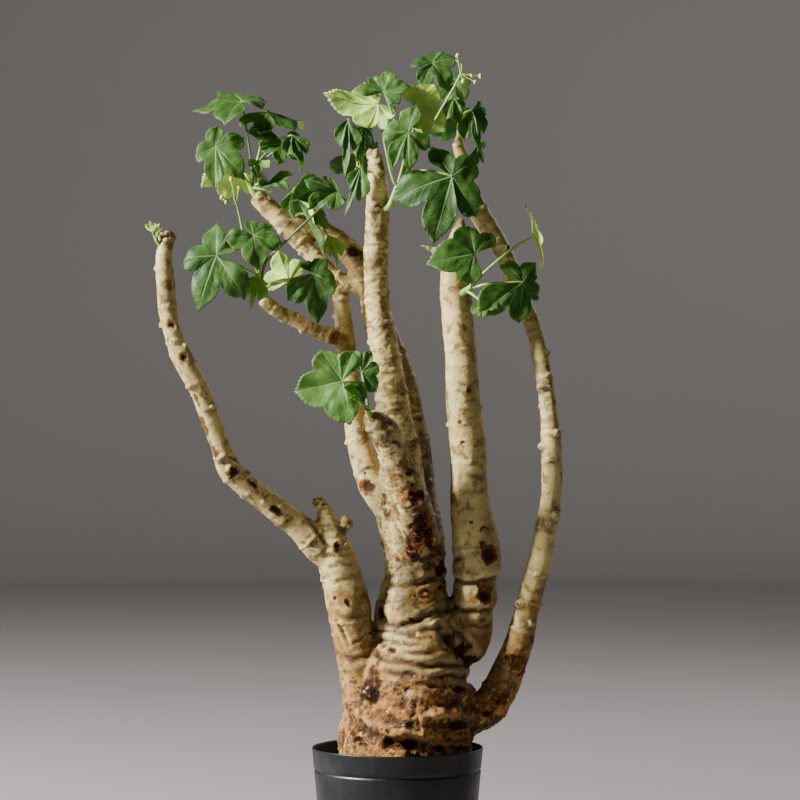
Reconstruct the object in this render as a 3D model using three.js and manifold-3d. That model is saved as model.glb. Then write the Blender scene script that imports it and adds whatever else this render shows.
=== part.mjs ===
import * as THREE from "three";
import { mergeVertices } from "three/addons/utils/BufferGeometryUtils.js";
import Module from "manifold-3d";

// A caudex plant in its plastic pot: a fat corky base, bare woody stems that fan out to the left and right,
// and palmate leaves in loose clusters at their tips. Millimetres, +Z up. The origin is the centre of the
// pot's underside, and the side that the stems fan across faces -Y.

// Pot
const POT_HEIGHT = 125;
const RIM_RADIUS = 59.9;
const BASE_RADIUS = 48.5;
const WALL = 1.5;
const FLOOR = 2.4;
const BAND_HEIGHT = 15.5;
const GROOVE_DEPTH = 0.9;
const POT_FACETS = 36;
const DRAIN_COUNT = 8;
const DRAIN_RADIUS = 3.5;
const DRAIN_RING = 31;
const DRAIN_SIDES = 8;
const CHANNEL_DEPTH = 0.9;
const CHANNEL_WIDTH = 4;

// Soil
const SOIL_DROP = 14;
const SOIL_FACETS = 32;
const SOIL_UNEVEN = 0.9;

// Everything that touches keeps this clearance.
const CLEARANCE = 0.3;

// The viewpoint in front of the plant, which the plant's points line up from.
const VIEW_X = 1.7;
const VIEW_HEIGHT = 367.5;
const VIEW_DISTANCE = 2065;

// Wood: how strongly the stems' sections are lobed, and their facets.
const LOBED = 0.022;
const TRUNK_SIDES = 16;
const THICK_STEM_SIDES = 12;
const THIN_STEM_SIDES = 9;
const SPUR_SIDES = 8;

// Leaves
const BLADE = 0.8;
const PETIOLE_FOOT = 1.15;
const PETIOLE_TOP = 0.75;
const PETIOLE_SIDES = 5;
const STEM_SIDES = 6;
// How far down the last stretch of a shoot's stem its uppermost petioles start.
const PETIOLE_ROOT = 0.14;
// The edge of a lobe, from its rib (0) to the middle of the cut beside it (1), with its reach as a share of
// the rib's length, for cuts of the full depth.
const LOBE_EDGE = [
  [0, 1],
  [0.32, 0.88],
  [0.72, 0.74],
  [1, 0.42],
];
const SMALL_LOBE_EDGE = [
  [0, 1],
  [0.45, 0.84],
  [1, 0.42],
];
const SMALL_LOBE = 25.5;
const OUTER_LOBE_ANGLE = 0.55;
const RIB_ARCH = 0.07;
const LOBE_FOLD = 0.11;

// Flower stalks and buds
const FLOWER_STALK_FOOT = 0.9;
const FLOWER_STALK_TOP = 0.7;
const BUD_STALK = 0.6;
const BUD_STALK_SIDES = 4;
const BUD_RADIUS = 1.7;
const BUD_STRETCH = 1.3;

const POT_COLOUR = 0x1b1b1e;
const SOIL_COLOUR = 0x1f1813;
const WOOD_COLOUR = 0xc2ac7c;
const LEAF_COLOUR = 0x3f7a34;
const BUD_COLOUR = 0x8cbf4a;

const wasm = await Module();
wasm.setup();

// The woody stems. Each row is [across, depth, height, radius], written as it lines up from the viewpoint.
const TRUNK = [
  [0, 0, 66, 30],
  [1, 0, 74, 39],
  [3, 0, 92, 45],
  [5, 0, 112, 47.5],
  [5, 0, 129.5, 46.5],
  [7, 0, 143.5, 45],
  [10, 0, 157.5, 44],
  [10, 0, 171.5, 41],
  [13, 0, 185.5, 38],
  [14, 0, 199.5, 33],
  [11, 0, 213.5, 28],
  [10.8, 0, 227.5, 25],
  [12, 0, 241.5, 21.5],
  [11.5, 0, 255.5, 20.6],
  [9, 0, 269.5, 21],
  [6.3, 0, 283.5, 20.4],
  [3.6, 0, 297.5, 18.6],
  [2.4, 0, 315, 15.8],
  [1.8, 0, 332.5, 14],
  [-3, 0, 360.5, 12],
  [-10, 0, 409.5, 10.2],
  [-13.7, 0, 430.5, 9],
  [-15, 0, 451.5, 8.7],
  [-15, 0, 476, 8.5],
  [-13.7, 0, 497, 8.4],
  [-13.7, 0, 514.5, 8.2],
  [-15, 0, 532, 6],
  [-16.5, 0, 541, 4.5],
];
const FRONT_BRANCH = [
  [13, -4, 248, 11],
  [14.5, -9, 262.5, 13.5],
  [12.9, -15, 276.5, 13.5],
  [10.1, -20, 290.5, 12.6],
  [5.9, -24, 304.5, 11.8],
  [0.3, -28, 318.5, 11.3],
  [-3.9, -31, 332.5, 10.7],
  [-9.5, -35, 345, 10],
  [-15, -38, 351, 8.6],
  [-19, -41, 355.5, 6],
];
const BACK_STEM = [
  [17, 12, 245, 15],
  [18.5, 20, 269.5, 14.5],
  [14, 25, 297, 14],
  [9, 28, 340, 13],
  [0, 30, 385, 12.3],
  [-7.2, 31, 406, 11.5],
  [-13.7, 31, 425.6, 10.5],
  [-18, 31, 444.5, 10],
  [-25.5, 32, 461, 9.5],
  [-36.8, 33, 474, 8.5],
  [-50.8, 34, 484.4, 7.5],
  [-61, 34, 490, 6.5],
  [-69.7, 34, 494, 5.5],
];
const BEHIND_LEFT_STEM = [
  [-1, 6, 283, 9],
  [-10.5, 11, 296, 9.4],
  [-17.5, 16, 308, 9.6],
  [-22, 21, 320, 9.6],
  [-25.8, 26, 334, 9.3],
  [-28.6, 28, 347, 8.5],
  [-33, 30, 378, 7.5],
  [-35.4, 32, 406, 6.8],
  [-39.6, 32, 434, 6.3],
  [-43, 32, 450, 6],
];
const UPPER_LEFT_BRANCH = [
  [-18, 31, 444, 7],
  [-32, 30, 448, 5.8],
  [-43, 31, 454, 5.6],
  [-53, 32, 462.7, 6],
  [-64.8, 33, 475, 6.5],
  [-76.7, 34, 488, 7],
  [-88, 35, 499.8, 7.2],
  [-97.7, 35, 509, 6.5],
];
const LOWER_LEFT_BRANCH = [
  [-35.4, 30, 402.5, 6],
  [-45, 26, 411.6, 6],
  [-57.8, 23, 415.8, 5.5],
  [-71.8, 20, 423.5, 5.2],
  [-84.4, 17, 429.8, 5],
  [-93.5, 15, 437, 5],
];
const LEFT_STEM = [
  [-8, -2, 132, 18],
  [-18, -6, 157.5, 20],
  [-25, -8, 182, 16],
  [-32, -10, 207, 14.6],
  [-34.7, -12, 224, 15.3],
  [-39.6, -13, 245, 14],
  [-45.2, -14, 263.9, 13],
  [-48, -14, 276.5, 9],
  [-51.5, -14, 290.5, 5],
  [-56, -14, 297.5, 3.8],
];
const LEFT_LONG_BRANCH = [
  [-44, -14, 254, 9],
  [-54, -16, 264, 11],
  [-68.3, -19, 278.6, 9.5],
  [-78.8, -22, 287, 9],
  [-96.3, -27, 300.3, 8.3],
  [-110, -31, 311.5, 8.5],
  [-118, -34, 320, 8.7],
  [-123, -36, 332.5, 7.3],
  [-130.6, -39, 353.5, 7],
  [-137.6, -42, 372.4, 7],
  [-145.3, -44, 387, 7.3],
  [-151.6, -45, 399, 7.3],
  [-156.5, -46, 413, 6.6],
  [-160.7, -46, 429, 6.4],
  [-162.8, -46, 450.8, 6.4],
  [-163.5, -46, 467, 5.8],
  [-162, -45, 476.7, 5.3],
  [-160.7, -45, 484, 4.6],
];
const RIGHT_STEM = [
  [18, 0, 160, 18],
  [29, 1, 176, 17],
  [40, 3, 190.5, 16],
  [48.5, 4, 200, 16],
  [51.8, 4, 209.5, 15],
  [52.4, 4, 219.8, 14.2],
  [53.8, 4, 230.2, 16.3],
  [53.6, 4, 238.8, 14.7],
  [54.5, 4, 247.5, 16.2],
  [55.6, 4, 258, 16.8],
  [54.2, 3, 271.4, 16.2],
  [52.1, 3, 287.9, 14.7],
  [50.3, 3, 303, 13.6],
  [49.9, 3, 314.7, 12.8],
  [48.4, 2, 339.5, 12.9],
  [45.8, 2, 367.5, 12],
  [44.4, 1, 402.5, 11.3],
  [40.9, 0, 437.5, 11.2],
  [40.2, 0, 451.5, 10.7],
  [40.9, 0, 469, 9],
  [43, 0, 483, 6.5],
  [44.4, 0, 494, 3.2],
];
const RIGHT_OUTER_STEM = [
  [24, 1, 147, 17],
  [38, 2, 148, 16],
  [54, 3, 149, 13.5],
  [64, 4, 153, 12.8],
  [72, 5, 164.5, 12.2],
  [78.2, 5, 180, 11.3],
  [83.9, 3, 195, 10.2],
  [88.8, 1, 213, 8.9],
  [94.3, -2, 235, 8.6],
  [100.4, -4, 256.5, 8.2],
  [105.4, -5, 285, 7.8],
  [107.9, -5, 308, 7.4],
  [107.6, -3, 336, 7.3],
  [106, 2, 360.5, 6.4],
  [102, 9, 388, 6.2],
  [95.5, 17, 416.5, 6],
  [87, 23, 437.5, 6.3],
  [77.3, 28, 463.4, 6.5],
  [70.3, 30, 477.4, 7.3],
  [61.2, 29, 492, 7.5],
  [53.5, 27, 504.7, 7.3],
  [48.6, 26, 520, 6.3],
  [45.8, 25, 535.5, 5.3],
  [43, 25, 544, 4.6],
  [43, 25, 552, 2.6],
];
const LEFT_KNOB = [
  [-44, -14, 266, 4],
  [-38.5, -15, 274, 2.6],
  [-36.5, -15, 279, 4],
  [-34, -15, 283, 4],
];
const RIGHT_SPUR = [
  [37, -1, 468, 4.5],
  [28, -3, 471.5, 3.2],
  [16, -6, 476, 0.8],
];
const LEFT_TIP_SPUR = [
  [-144, -45, 396, 3],
  [-147, -50, 402, 2.4],
  [-149, -53, 407, 1.2],
];

// The leafy shoots. A shoot's stem starts in its seat on the wood. A leaf has its hub, the tips of its lobes
// in order round the hub as its upper face shows them, the way of its petiole from the stem, and how deep the
// cuts between its lobes are. A spray is a bare stalk with buds. All points line up from the viewpoint as the
// stems' do.
const SHOOTS = {
  front_shoot: {
    stem: [[-17, -38, 351, 2.4], [-20, -45, 358, 2.2], [-22, -50, 363, 1.6]],
    leaves: [
      {
        hub: [-39, -62, 380.6],
        tips: [[-31, -53, 402], [-54, -55, 402.5], [-72.8, -58, 373], [-33, -68, 349.5], [-21, -60, 369]],
        stalk: [[-29, -54, 369]],
        depth: 0.5,
      },
      {
        hub: [-25, -46, 387],
        tips: [[-14.5, -46, 373], [-13, -44, 392], [-18, -40, 402], [-31, -40, 402]],
        stalk: [[-22, -48, 372]],
        depth: 0.6,
      },
      {
        hub: [-22, -60, 361.5],
        tips: [[-39, -73, 377], [-34, -75, 369], [-24, -73, 362]],
        stalk: [[-22, -54, 361.5]],
        depth: 0.7,
      },
    ],
  },
  right_shoot: {
    stem: [[44, -7, 441, 2.6], [48, -13, 444, 2.4], [52, -17, 447, 1.8]],
    leaves: [
      {
        hub: [54, -31, 470],
        tips: [[66, -24, 484.5], [50, -26, 489], [19.5, -36, 462.5], [48.5, -36, 447.5]],
        stalk: [[53, -25, 458]],
        depth: 0.55,
      },
      {
        hub: [87.5, -30, 450],
        tips: [[55, -38, 425.5], [84.4, -35, 420.5], [98.5, -24, 441], [96.5, -18, 464], [72, -23, 464]],
        stalk: [[62, -23, 448.5], [76, -29, 449.5]],
        depth: 0.75,
      },
      {
        hub: [94.5, -14, 482],
        tips: [[89, -13, 505.5], [97, -37, 487], [102, -19, 457]],
        stalk: [[62, -17, 458], [80, -16, 473]],
        depth: 0.8,
      },
      {
        hub: [59, -32, 436],
        tips: [[52.5, -37, 427], [60, -42, 422], [71, -40, 431]],
        stalk: [[53, -24, 441]],
        depth: 0.7,
      },
    ],
  },
  top_shoot: {
    stem: [[-10, -5, 501, 2.6], [-5, -10, 504, 2.4], [0, -13, 517, 2], [6, -15, 527, 1.8]],
    leaves: [
      {
        hub: [38, -34, 524.2],
        tips: [[-4.7, -28, 506.5], [24.5, -41, 475], [55.3, -35, 495], [54.5, -26, 535.5], [23.5, -22, 544.5]],
        stalk: [[21, -28, 528]],
        depth: 0.85,
      },
      {
        hub: [7.3, -31, 555],
        tips: [[13.5, -26, 574], [-11, -27, 554], [-4, -33, 528], [8, -37, 526.5], [23, -29, 544]],
        stalk: [[6, -22, 541]],
        depth: 0.75,
      },
      {
        hub: [-13.5, -14, 574.8],
        tips: [[-2, -22, 566], [-8.5, -24, 557], [-21.5, -24, 557.5], [-52, -17, 583.5], [-23, 5, 590]],
        stalk: [[-2, -14, 519], [-10, -17, 552]],
        depth: 0.6,
      },
      {
        hub: [-9.5, -20, 583],
        tips: [[1.5, -27, 574.5], [9, -22, 587], [-5, -14, 598.5], [-18.5, -13, 593], [-31.5, -18, 584.5]],
        stalk: [[5, -17, 540], [-3, -20, 566]],
        depth: 0.65,
      },
      {
        hub: [24.5, -12, 603.5],
        tips: [[16.5, -20, 587.5], [36, -18, 582.5], [40.5, -9, 607], [31, -3, 611.5], [8, -9, 601]],
        stalk: [[14, -14, 552], [20, -12, 580]],
        depth: 0.7,
      },
      {
        hub: [11, -18, 574],
        tips: [[5, -20, 587], [27, -13, 588.5], [34, -16, 555], [18, -22, 553], [5, -24, 562]],
        stalk: [[9, -16, 539], [11, -17, 556]],
        depth: 0.5,
      },
    ],
    sprays: [
      {
        stalk: [[5, -14.8, 525], [21, -26, 554.5], [44.2, -30, 596], [40.8, -30, 606]],
        buds: [[46, -31, 590.7], [51.8, -32, 594.5], [58, -31, 594], [54.2, -33, 590], [42, -31, 608.5]],
        fork: [44, -30, 596],
      },
    ],
  },
  crown_back_shoot: {
    stem: [[-18, 5, 512, 2.4], [-25, 12, 515, 2.2], [-29, 15, 521, 1.6]],
    leaves: [
      {
        hub: [-35, 4, 564],
        tips: [[-41.5, 0, 546], [-37, -3, 522], [-29.5, 1, 542]],
        stalk: [[-28, 14, 540], [-32, 12, 558]],
        depth: 0.8,
      },
      {
        hub: [-24, 14, 559],
        tips: [[-32.5, 9, 550], [-29, 8, 533], [-19, 12, 541], [-16.5, 22, 557]],
        stalk: [[-25, 16, 540]],
        depth: 0.7,
      },
      {
        hub: [-25.5, -9, 531],
        tips: [[-34, -11, 516], [-37.5, -13, 495], [-27, -12, 506]],
        stalk: [[-29, 4, 529]],
        depth: 0.8,
      },
      {
        hub: [-30, 34, 541],
        tips: [[-48, 42, 530], [-30, 58, 520], [-8, 46, 528], [-14, 24, 548]],
        stalk: [[-27, 22, 534]],
        depth: 0.6,
      },
    ],
  },
  right_tip_shoot: {
    stem: [[43, 25, 546, 1.7], [43, 25, 556, 1.6], [43.5, 24, 564, 1.4]],
    leaves: [
      {
        hub: [52, 24, 570],
        tips: [[46.5, 17, 549], [56, 18, 542], [61.5, 24, 555], [60.5, 34, 573]],
        stalk: [[48, 23, 569]],
        depth: 0.6,
      },
      {
        hub: [40.5, 20, 588],
        tips: [[31, 14, 577], [48.5, 15, 578], [51, 22, 594], [36, 26, 597]],
        stalk: [[43, 22, 578]],
        depth: 0.6,
      },
      {
        hub: [39, 14, 579],
        tips: [[33, 8, 563], [44, 9, 559], [47, 14, 571]],
        stalk: [[42, 18, 574]],
        depth: 0.6,
      },
      {
        hub: [56, 33, 546],
        tips: [[54.5, 32, 530], [60.5, 33, 532.5], [62, 41, 545]],
        stalk: [[50, 28, 562], [54.5, 32, 557]],
        depth: 0.7,
      },
      {
        hub: [36, 46, 566],
        tips: [[20, 50, 552], [34, 66, 548], [54, 58, 556], [50, 42, 572]],
        stalk: [[41, 30, 569]],
        depth: 0.6,
      },
    ],
  },
  upper_left_shoot: {
    stem: [[-95, 35, 506, 2.8], [-100, 34, 512, 2.6], [-104, 33, 519, 1.8]],
    leaves: [
      {
        hub: [-127.5, 14, 545],
        tips: [[-126, 20, 559.5], [-142, 13, 538], [-127.5, 7, 513], [-106.5, 8, 521], [-107, 18, 551]],
        stalk: [[-114, 24, 533]],
        depth: 0.75,
      },
      {
        hub: [-109, 28, 576],
        tips: [[-94, 14, 571], [-91, 40, 575], [-117, 58, 582], [-144, 31, 569.5], [-121, 2, 559.5]],
        stalk: [[-104, 33, 546]],
        depth: 0.6,
      },
      {
        hub: [-91, 31, 569],
        tips: [[-110, 18, 557.5], [-97, 7, 553], [-71, 15, 555.5], [-65, 42, 557], [-85, 61, 562]],
        stalk: [[-99, 33, 532], [-94, 33, 553]],
        depth: 0.6,
      },
      {
        hub: [-80, 16, 547],
        tips: [[-107, 13, 554], [-97, 8, 543], [-84, 4, 531], [-70, 9, 534], [-69, 22, 553]],
        stalk: [[-98, 28, 530], [-88, 20, 540]],
        depth: 0.6,
      },
      {
        hub: [-74, 13, 553],
        tips: [[-78, 3, 538], [-67.5, 3, 524.5], [-62.5, 11, 541]],
        stalk: [[-97, 28, 534], [-83, 21, 549]],
        depth: 0.7,
      },
      {
        hub: [-90, 24, 520],
        tips: [[-104, 14, 528], [-96, 8, 514], [-75, 10, 513.5], [-73, 20, 525]],
        stalk: [[-99, 31, 518]],
        depth: 0.7,
      },
      {
        hub: [-97, 21, 535],
        tips: [[-105, 15, 531], [-98, 12, 523.5], [-89, 14, 530]],
        stalk: [[-102, 30, 524]],
        depth: 0.7,
      },
      {
        hub: [-112, 58, 528],
        tips: [[-100, 72, 512], [-122, 80, 506], [-138, 64, 516], [-130, 44, 534]],
        stalk: [[-107, 44, 526]],
        depth: 0.6,
      },
    ],
    sprays: [
      {
        stalk: [[-102, 33, 516], [-94, 27, 515], [-89, 22, 514]],
        buds: [[-89, 20, 514], [-90, 19, 509]],
        fork: [-89, 22, 514],
      },
    ],
  },
  inner_left_shoot: {
    stem: [[-66.5, 34, 492.5, 2.2], [-72, 31, 496, 2], [-75, 28, 501, 1.5]],
    leaves: [
      {
        hub: [-70, 19, 508],
        tips: [[-58, 12, 490], [-50.5, 14, 465], [-46.5, 18, 488], [-55, 26, 508]],
        stalk: [[-75, 23, 506]],
        depth: 0.75,
      },
      {
        hub: [-49, 18, 483],
        tips: [[-48, 15, 468], [-43, 16, 457.5], [-38, 19, 469]],
        stalk: [[-66, 23, 498], [-54, 20, 491]],
        depth: 0.6,
      },
      {
        hub: [-72, 47, 516],
        tips: [[-82, 52, 501], [-72, 66, 496], [-54, 62, 508], [-58, 44, 526]],
        stalk: [[-74, 38, 508]],
        depth: 0.6,
      },
    ],
  },
  lower_left_shoot: {
    stem: [[-91, 15.5, 435, 2.6], [-95.5, 13.5, 442, 2.6], [-97, 11, 456, 2]],
    leaves: [
      {
        hub: [-127, -10, 468.5],
        tips: [[-108.5, -2, 482], [-126.5, 1, 491], [-150, -6, 464.5], [-140, -18, 428.5], [-106.5, -15, 437.5]],
        stalk: [[-108, -2, 460]],
        depth: 0.75,
      },
      {
        hub: [-101, -4, 482.5],
        tips: [[-121, -7, 480], [-98, -12, 457.5], [-80.5, -3, 476.5], [-88, 4, 491], [-104, 4, 493]],
        stalk: [[-98, 4, 470]],
        depth: 0.55,
      },
      {
        hub: [-76, 18, 451.5],
        tips: [[-95, 20, 450.5], [-84, 25, 473], [-68, 24, 466]],
        stalk: [[-90, 15, 448]],
        depth: 0.5,
      },
      {
        hub: [-59, 3, 456],
        tips: [[-77.5, -3, 437], [-56, 1, 419.5], [-42, 2, 446.5], [-54, 9, 467], [-66.5, 9, 464.5]],
        stalk: [[-86, 10, 450], [-71, 8, 453]],
        depth: 0.65,
      },
      {
        hub: [-98.5, 4, 455],
        tips: [[-108, -4, 438], [-103.5, -6, 428.5], [-96.5, -2, 436]],
        stalk: [[-98, 8, 456]],
        depth: 0.7,
      },
      {
        hub: [-42, 12, 514],
        tips: [[-36, 4, 508], [-50, 18, 524.5], [-66, 12, 521.5], [-63, 5, 500.5], [-44, 2, 500]],
        stalk: [[-93, 8, 462], [-82, 5, 475], [-60, 3, 496]],
        depth: 0.6,
      },
    ],
    sprays: [
      {
        stalk: [[-97, 11, 455], [-106, 4, 476], [-111.5, 2, 500], [-114.5, 1, 509.5]],
        buds: [[-123, 0, 509.5], [-111, 1, 516], [-116.5, 0, 522], [-120, 0, 506]],
        fork: [-113, 1.5, 504],
      },
    ],
  },
  left_bud: {
    stem: [[-164.5, -47, 474.5, 1.6], [-168.5, -49, 479, 1.4], [-170.5, -50, 484, 1.1]],
    leaves: [
      {
        hub: [-171.5, -51, 485],
        tips: [[-177, -53, 490], [-174, -55, 493], [-170, -55, 491]],
        stalk: [],
        depth: 1,
      },
      {
        hub: [-169, -51, 482],
        tips: [[-167, -54, 491], [-164.5, -53, 487], [-166, -49, 483]],
        stalk: [],
        depth: 1,
      },
    ],
  },
};

function inSpace([across, depth, height]) {
  const reach = 1 + depth / VIEW_DISTANCE;
  const x = VIEW_X + (across - VIEW_X) * reach;
  const z = VIEW_HEIGHT + (height - VIEW_HEIGHT) * reach;
  return new THREE.Vector3(x, depth, z);
}

function solid(geometry) {
  const bare = geometry.clone();
  bare.deleteAttribute("normal");
  bare.deleteAttribute("uv");
  const merged = mergeVertices(bare, 1e-4);
  return new wasm.Manifold(
    new wasm.Mesh({
      numProp: 3,
      vertProperties: new Float32Array(merged.attributes.position.array),
      triVerts: new Uint32Array(merged.index.array),
    }),
  );
}

function solidOfFaces(points, faces) {
  const geometry = new THREE.BufferGeometry().setFromPoints(points);
  geometry.setIndex(faces.flat());
  return solid(geometry);
}

function geometryOf(manifold) {
  const mesh = manifold.getMesh();
  const geometry = new THREE.BufferGeometry();
  geometry.setAttribute("position", new THREE.BufferAttribute(mesh.vertProperties, 3));
  geometry.setIndex(new THREE.BufferAttribute(mesh.triVerts, 1));
  const flat = geometry.toNonIndexed();
  flat.computeVertexNormals();
  return flat;
}

function piece(name, manifold, colour, roughness) {
  const material = new THREE.MeshStandardMaterial({ color: colour, roughness, metalness: 0 });
  const mesh = new THREE.Mesh(geometryOf(manifold), material);
  mesh.name = name;
  return mesh;
}

function joined(parts) {
  return parts.reduce((whole, part) => whole.add(part));
}

// A closed tube through stations of [across, depth, height, radius], smooth between them. Its section is
// slightly lobed by the share given, as grown wood is.
function tube(stations, sides, { steps = 1, lobed = 0, swell = 0 } = {}) {
  const curve = new THREE.CatmullRomCurve3(stations.map(inSpace), false, "centripetal");
  const radii = stations.map((station) => station[3]);
  const count = (stations.length - 1) * steps;
  const points = [];
  const faces = [];
  let across = new THREE.Vector3(1, 0, 0);
  for (let i = 0; i <= count; i++) {
    const along = i / count;
    const at = curve.getPoint(along);
    const way = curve.getTangent(along);
    across = across.clone().addScaledVector(way, -across.dot(way)).normalize();
    const side = new THREE.Vector3().crossVectors(way, across);
    const place = along * (radii.length - 1);
    const low = Math.min(Math.floor(place), radii.length - 2);
    const radius = THREE.MathUtils.lerp(radii[low], radii[low + 1], place - low) + swell;
    for (let k = 0; k < sides; k++) {
      const turn = (2 * Math.PI * k) / sides;
      const wave = 1 + lobed * Math.sin(3 * turn + at.z / 17) + 0.6 * lobed * Math.sin(5 * turn - at.z / 9);
      points.push(
        at
          .clone()
          .addScaledVector(across, Math.cos(turn) * radius * wave)
          .addScaledVector(side, Math.sin(turn) * radius * wave),
      );
    }
  }
  points.push(curve.getPoint(0), curve.getPoint(1));
  const [start, end] = [points.length - 2, points.length - 1];
  for (let k = 0; k < sides; k++) {
    const next = (k + 1) % sides;
    faces.push([start, next, k], [end, count * sides + k, count * sides + next]);
    for (let i = 0; i < count; i++) {
      const a = i * sides + k;
      const b = i * sides + next;
      faces.push([a, b, b + sides], [a, b + sides, a + sides]);
    }
  }
  return solidOfFaces(points, faces);
}

// The columns of a blade: one direction from the hub each, with the rib length it belongs to, its place
// between rib (0) and cut (1), and its reach.
function bladeColumns(ribs, depth) {
  const ways = ribs.map((rib) => rib.clone().normalize());
  const lengths = ribs.map((rib) => rib.length());
  const sectors = ways.slice(1).map((way, i) => new THREE.Vector3().crossVectors(ways[i], way).normalize());
  const columns = [];
  const edges = Math.max(...lengths) > SMALL_LOBE ? LOBE_EDGE : SMALL_LOBE_EDGE;
  const outward = edges.map(([place, reach]) => [place, 1 - (1 - reach) * depth]);
  const inward = [...outward].reverse();
  const add = (way, length, [place, reach], face) => columns.push({ way, length, place, reach, face });
  const addOuter = (lobe, edge, face, side) => {
    const way = ways[lobe].clone().applyAxisAngle(face, side * edge[0] * OUTER_LOBE_ANGLE);
    add(way, lengths[lobe], edge, face);
  };

  inward.slice(0, -1).forEach((edge) => addOuter(0, edge, sectors[0], -1));
  sectors.forEach((face, i) => {
    const before = sectors[Math.max(i - 1, 0)];
    add(ways[i], lengths[i], outward[0], face.clone().add(before).normalize());
    const between = (share) => ways[i].clone().lerp(ways[i + 1], share).normalize();
    const length = (share) => THREE.MathUtils.lerp(lengths[i], lengths[i + 1], share);
    outward.slice(1).forEach((edge) => add(between(edge[0] / 2), length(edge[0] / 2), edge, face));
    inward.slice(1, -1).forEach((edge) => add(between(1 - edge[0] / 2), length(1 - edge[0] / 2), edge, face));
  });
  const end = ways.length - 1;
  const face = sectors[sectors.length - 1];
  add(ways[end], lengths[end], outward[0], face);
  outward.slice(1).forEach((edge) => addOuter(end, edge, face, 1));
  return columns;
}

// A palmate blade of one thickness: ribs run from the hub to the lobe tips, arched a little, and the blade
// rises to both sides of each rib.
function leafBlade({ hub, tips, depth }) {
  const centre = inSpace(hub);
  const ribs = tips.map((tip) => inSpace(tip).sub(centre));
  const columns = bladeColumns(ribs, depth);
  const middle = columns.reduce((sum, column) => sum.add(column.face), new THREE.Vector3()).normalize();
  const tops = [];
  const bottoms = [];
  const place = (at, face) => {
    tops.push(at.clone().addScaledVector(face, BLADE / 2));
    bottoms.push(at.clone().addScaledVector(face, -BLADE / 2));
    return tops.length - 1;
  };
  const onColumn = ({ way, length, place: off, face }, share) => {
    const rise = RIB_ARCH * 4 * share * (1 - share) + LOBE_FOLD * share * off * (1 - off * 0.4);
    return centre.clone().addScaledVector(way, share * length).addScaledVector(face, length * rise);
  };
  const hubAt = place(centre, middle);
  const inner = new Map();
  columns.forEach((column, i) => {
    if (column.place !== 0 && column.place !== 1) return;
    const share = column.place === 0 ? 0.5 : 0.55 * column.reach;
    inner.set(i, place(onColumn(column, share), column.face));
  });
  const outer = columns.map((column) => place(onColumn(column, column.reach), column.face));
  const upper = [];
  const held = [...inner.keys()];
  held.slice(1).forEach((b, n) => {
    const a = held[n];
    const middleColumn = Math.round((a + b) / 2);
    upper.push([hubAt, inner.get(a), inner.get(b)]);
    for (let k = a; k < middleColumn; k++) upper.push([inner.get(a), outer[k], outer[k + 1]]);
    upper.push([inner.get(a), outer[middleColumn], inner.get(b)]);
    for (let k = middleColumn; k < b; k++) upper.push([inner.get(b), outer[k], outer[k + 1]]);
  });
  const rim = [hubAt, inner.get(held[0]), ...outer, inner.get(held[held.length - 1])];
  const below = tops.length;
  const faces = [...upper, ...upper.map(([a, b, c]) => [a + below, c + below, b + below])];
  rim.forEach((p, i) => {
    const q = rim[(i + 1) % rim.length];
    faces.push([p + below, q + below, q], [p + below, q, p]);
  });
  return solidOfFaces([...tops, ...bottoms], faces);
}

function withRadius(points, from, to) {
  return points.map((point, i) => [...point, THREE.MathUtils.lerp(from, to, i / (points.length - 1))]);
}

function petiole({ hub, stalk }, start) {
  return tube(withRadius([start, ...stalk, hub], PETIOLE_FOOT, PETIOLE_TOP), PETIOLE_SIDES);
}

function bud(at) {
  const geometry = new THREE.IcosahedronGeometry(BUD_RADIUS);
  geometry.scale(1, 1, BUD_STRETCH);
  const centre = inSpace(at);
  geometry.translate(centre.x, centre.y, centre.z);
  return solid(geometry);
}

function spray({ stalk, buds, fork }) {
  const parts = [tube(withRadius(stalk, FLOWER_STALK_FOOT, FLOWER_STALK_TOP), PETIOLE_SIDES, { steps: 2 })];
  buds.forEach((at) => {
    parts.push(tube(withRadius([fork, at], BUD_STALK, BUD_STALK), BUD_STALK_SIDES), bud(at));
  });
  return joined(parts);
}

function shoot({ stem, leaves, sprays = [] }) {
  const parts = [tube(stem, STEM_SIDES)];
  const [low, tip] = stem.slice(-2).map((row) => row.slice(0, 3));
  const start = tip.map((value, i) => THREE.MathUtils.lerp(value, low[i], PETIOLE_ROOT));
  leaves.forEach((leaf, i) => {
    const foot = i % 2 === 0 ? start : low;
    parts.push(leafBlade(leaf), petiole(leaf, foot));
  });
  sprays.forEach((each) => parts.push(spray(each)));
  return joined(parts);
}

// The hole in the wood that a shoot's stem stands in, one clearance wider and deeper than the stem.
function socket({ stem }) {
  const [foot, next] = stem;
  const span = Math.hypot(next[0] - foot[0], next[1] - foot[1], next[2] - foot[2]);
  const deeper = foot.map((value, i) => value + ((value - next[i]) * CLEARANCE * 1.5) / span);
  return tube([deeper, ...stem], STEM_SIDES, { swell: CLEARANCE * 1.4 });
}

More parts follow.
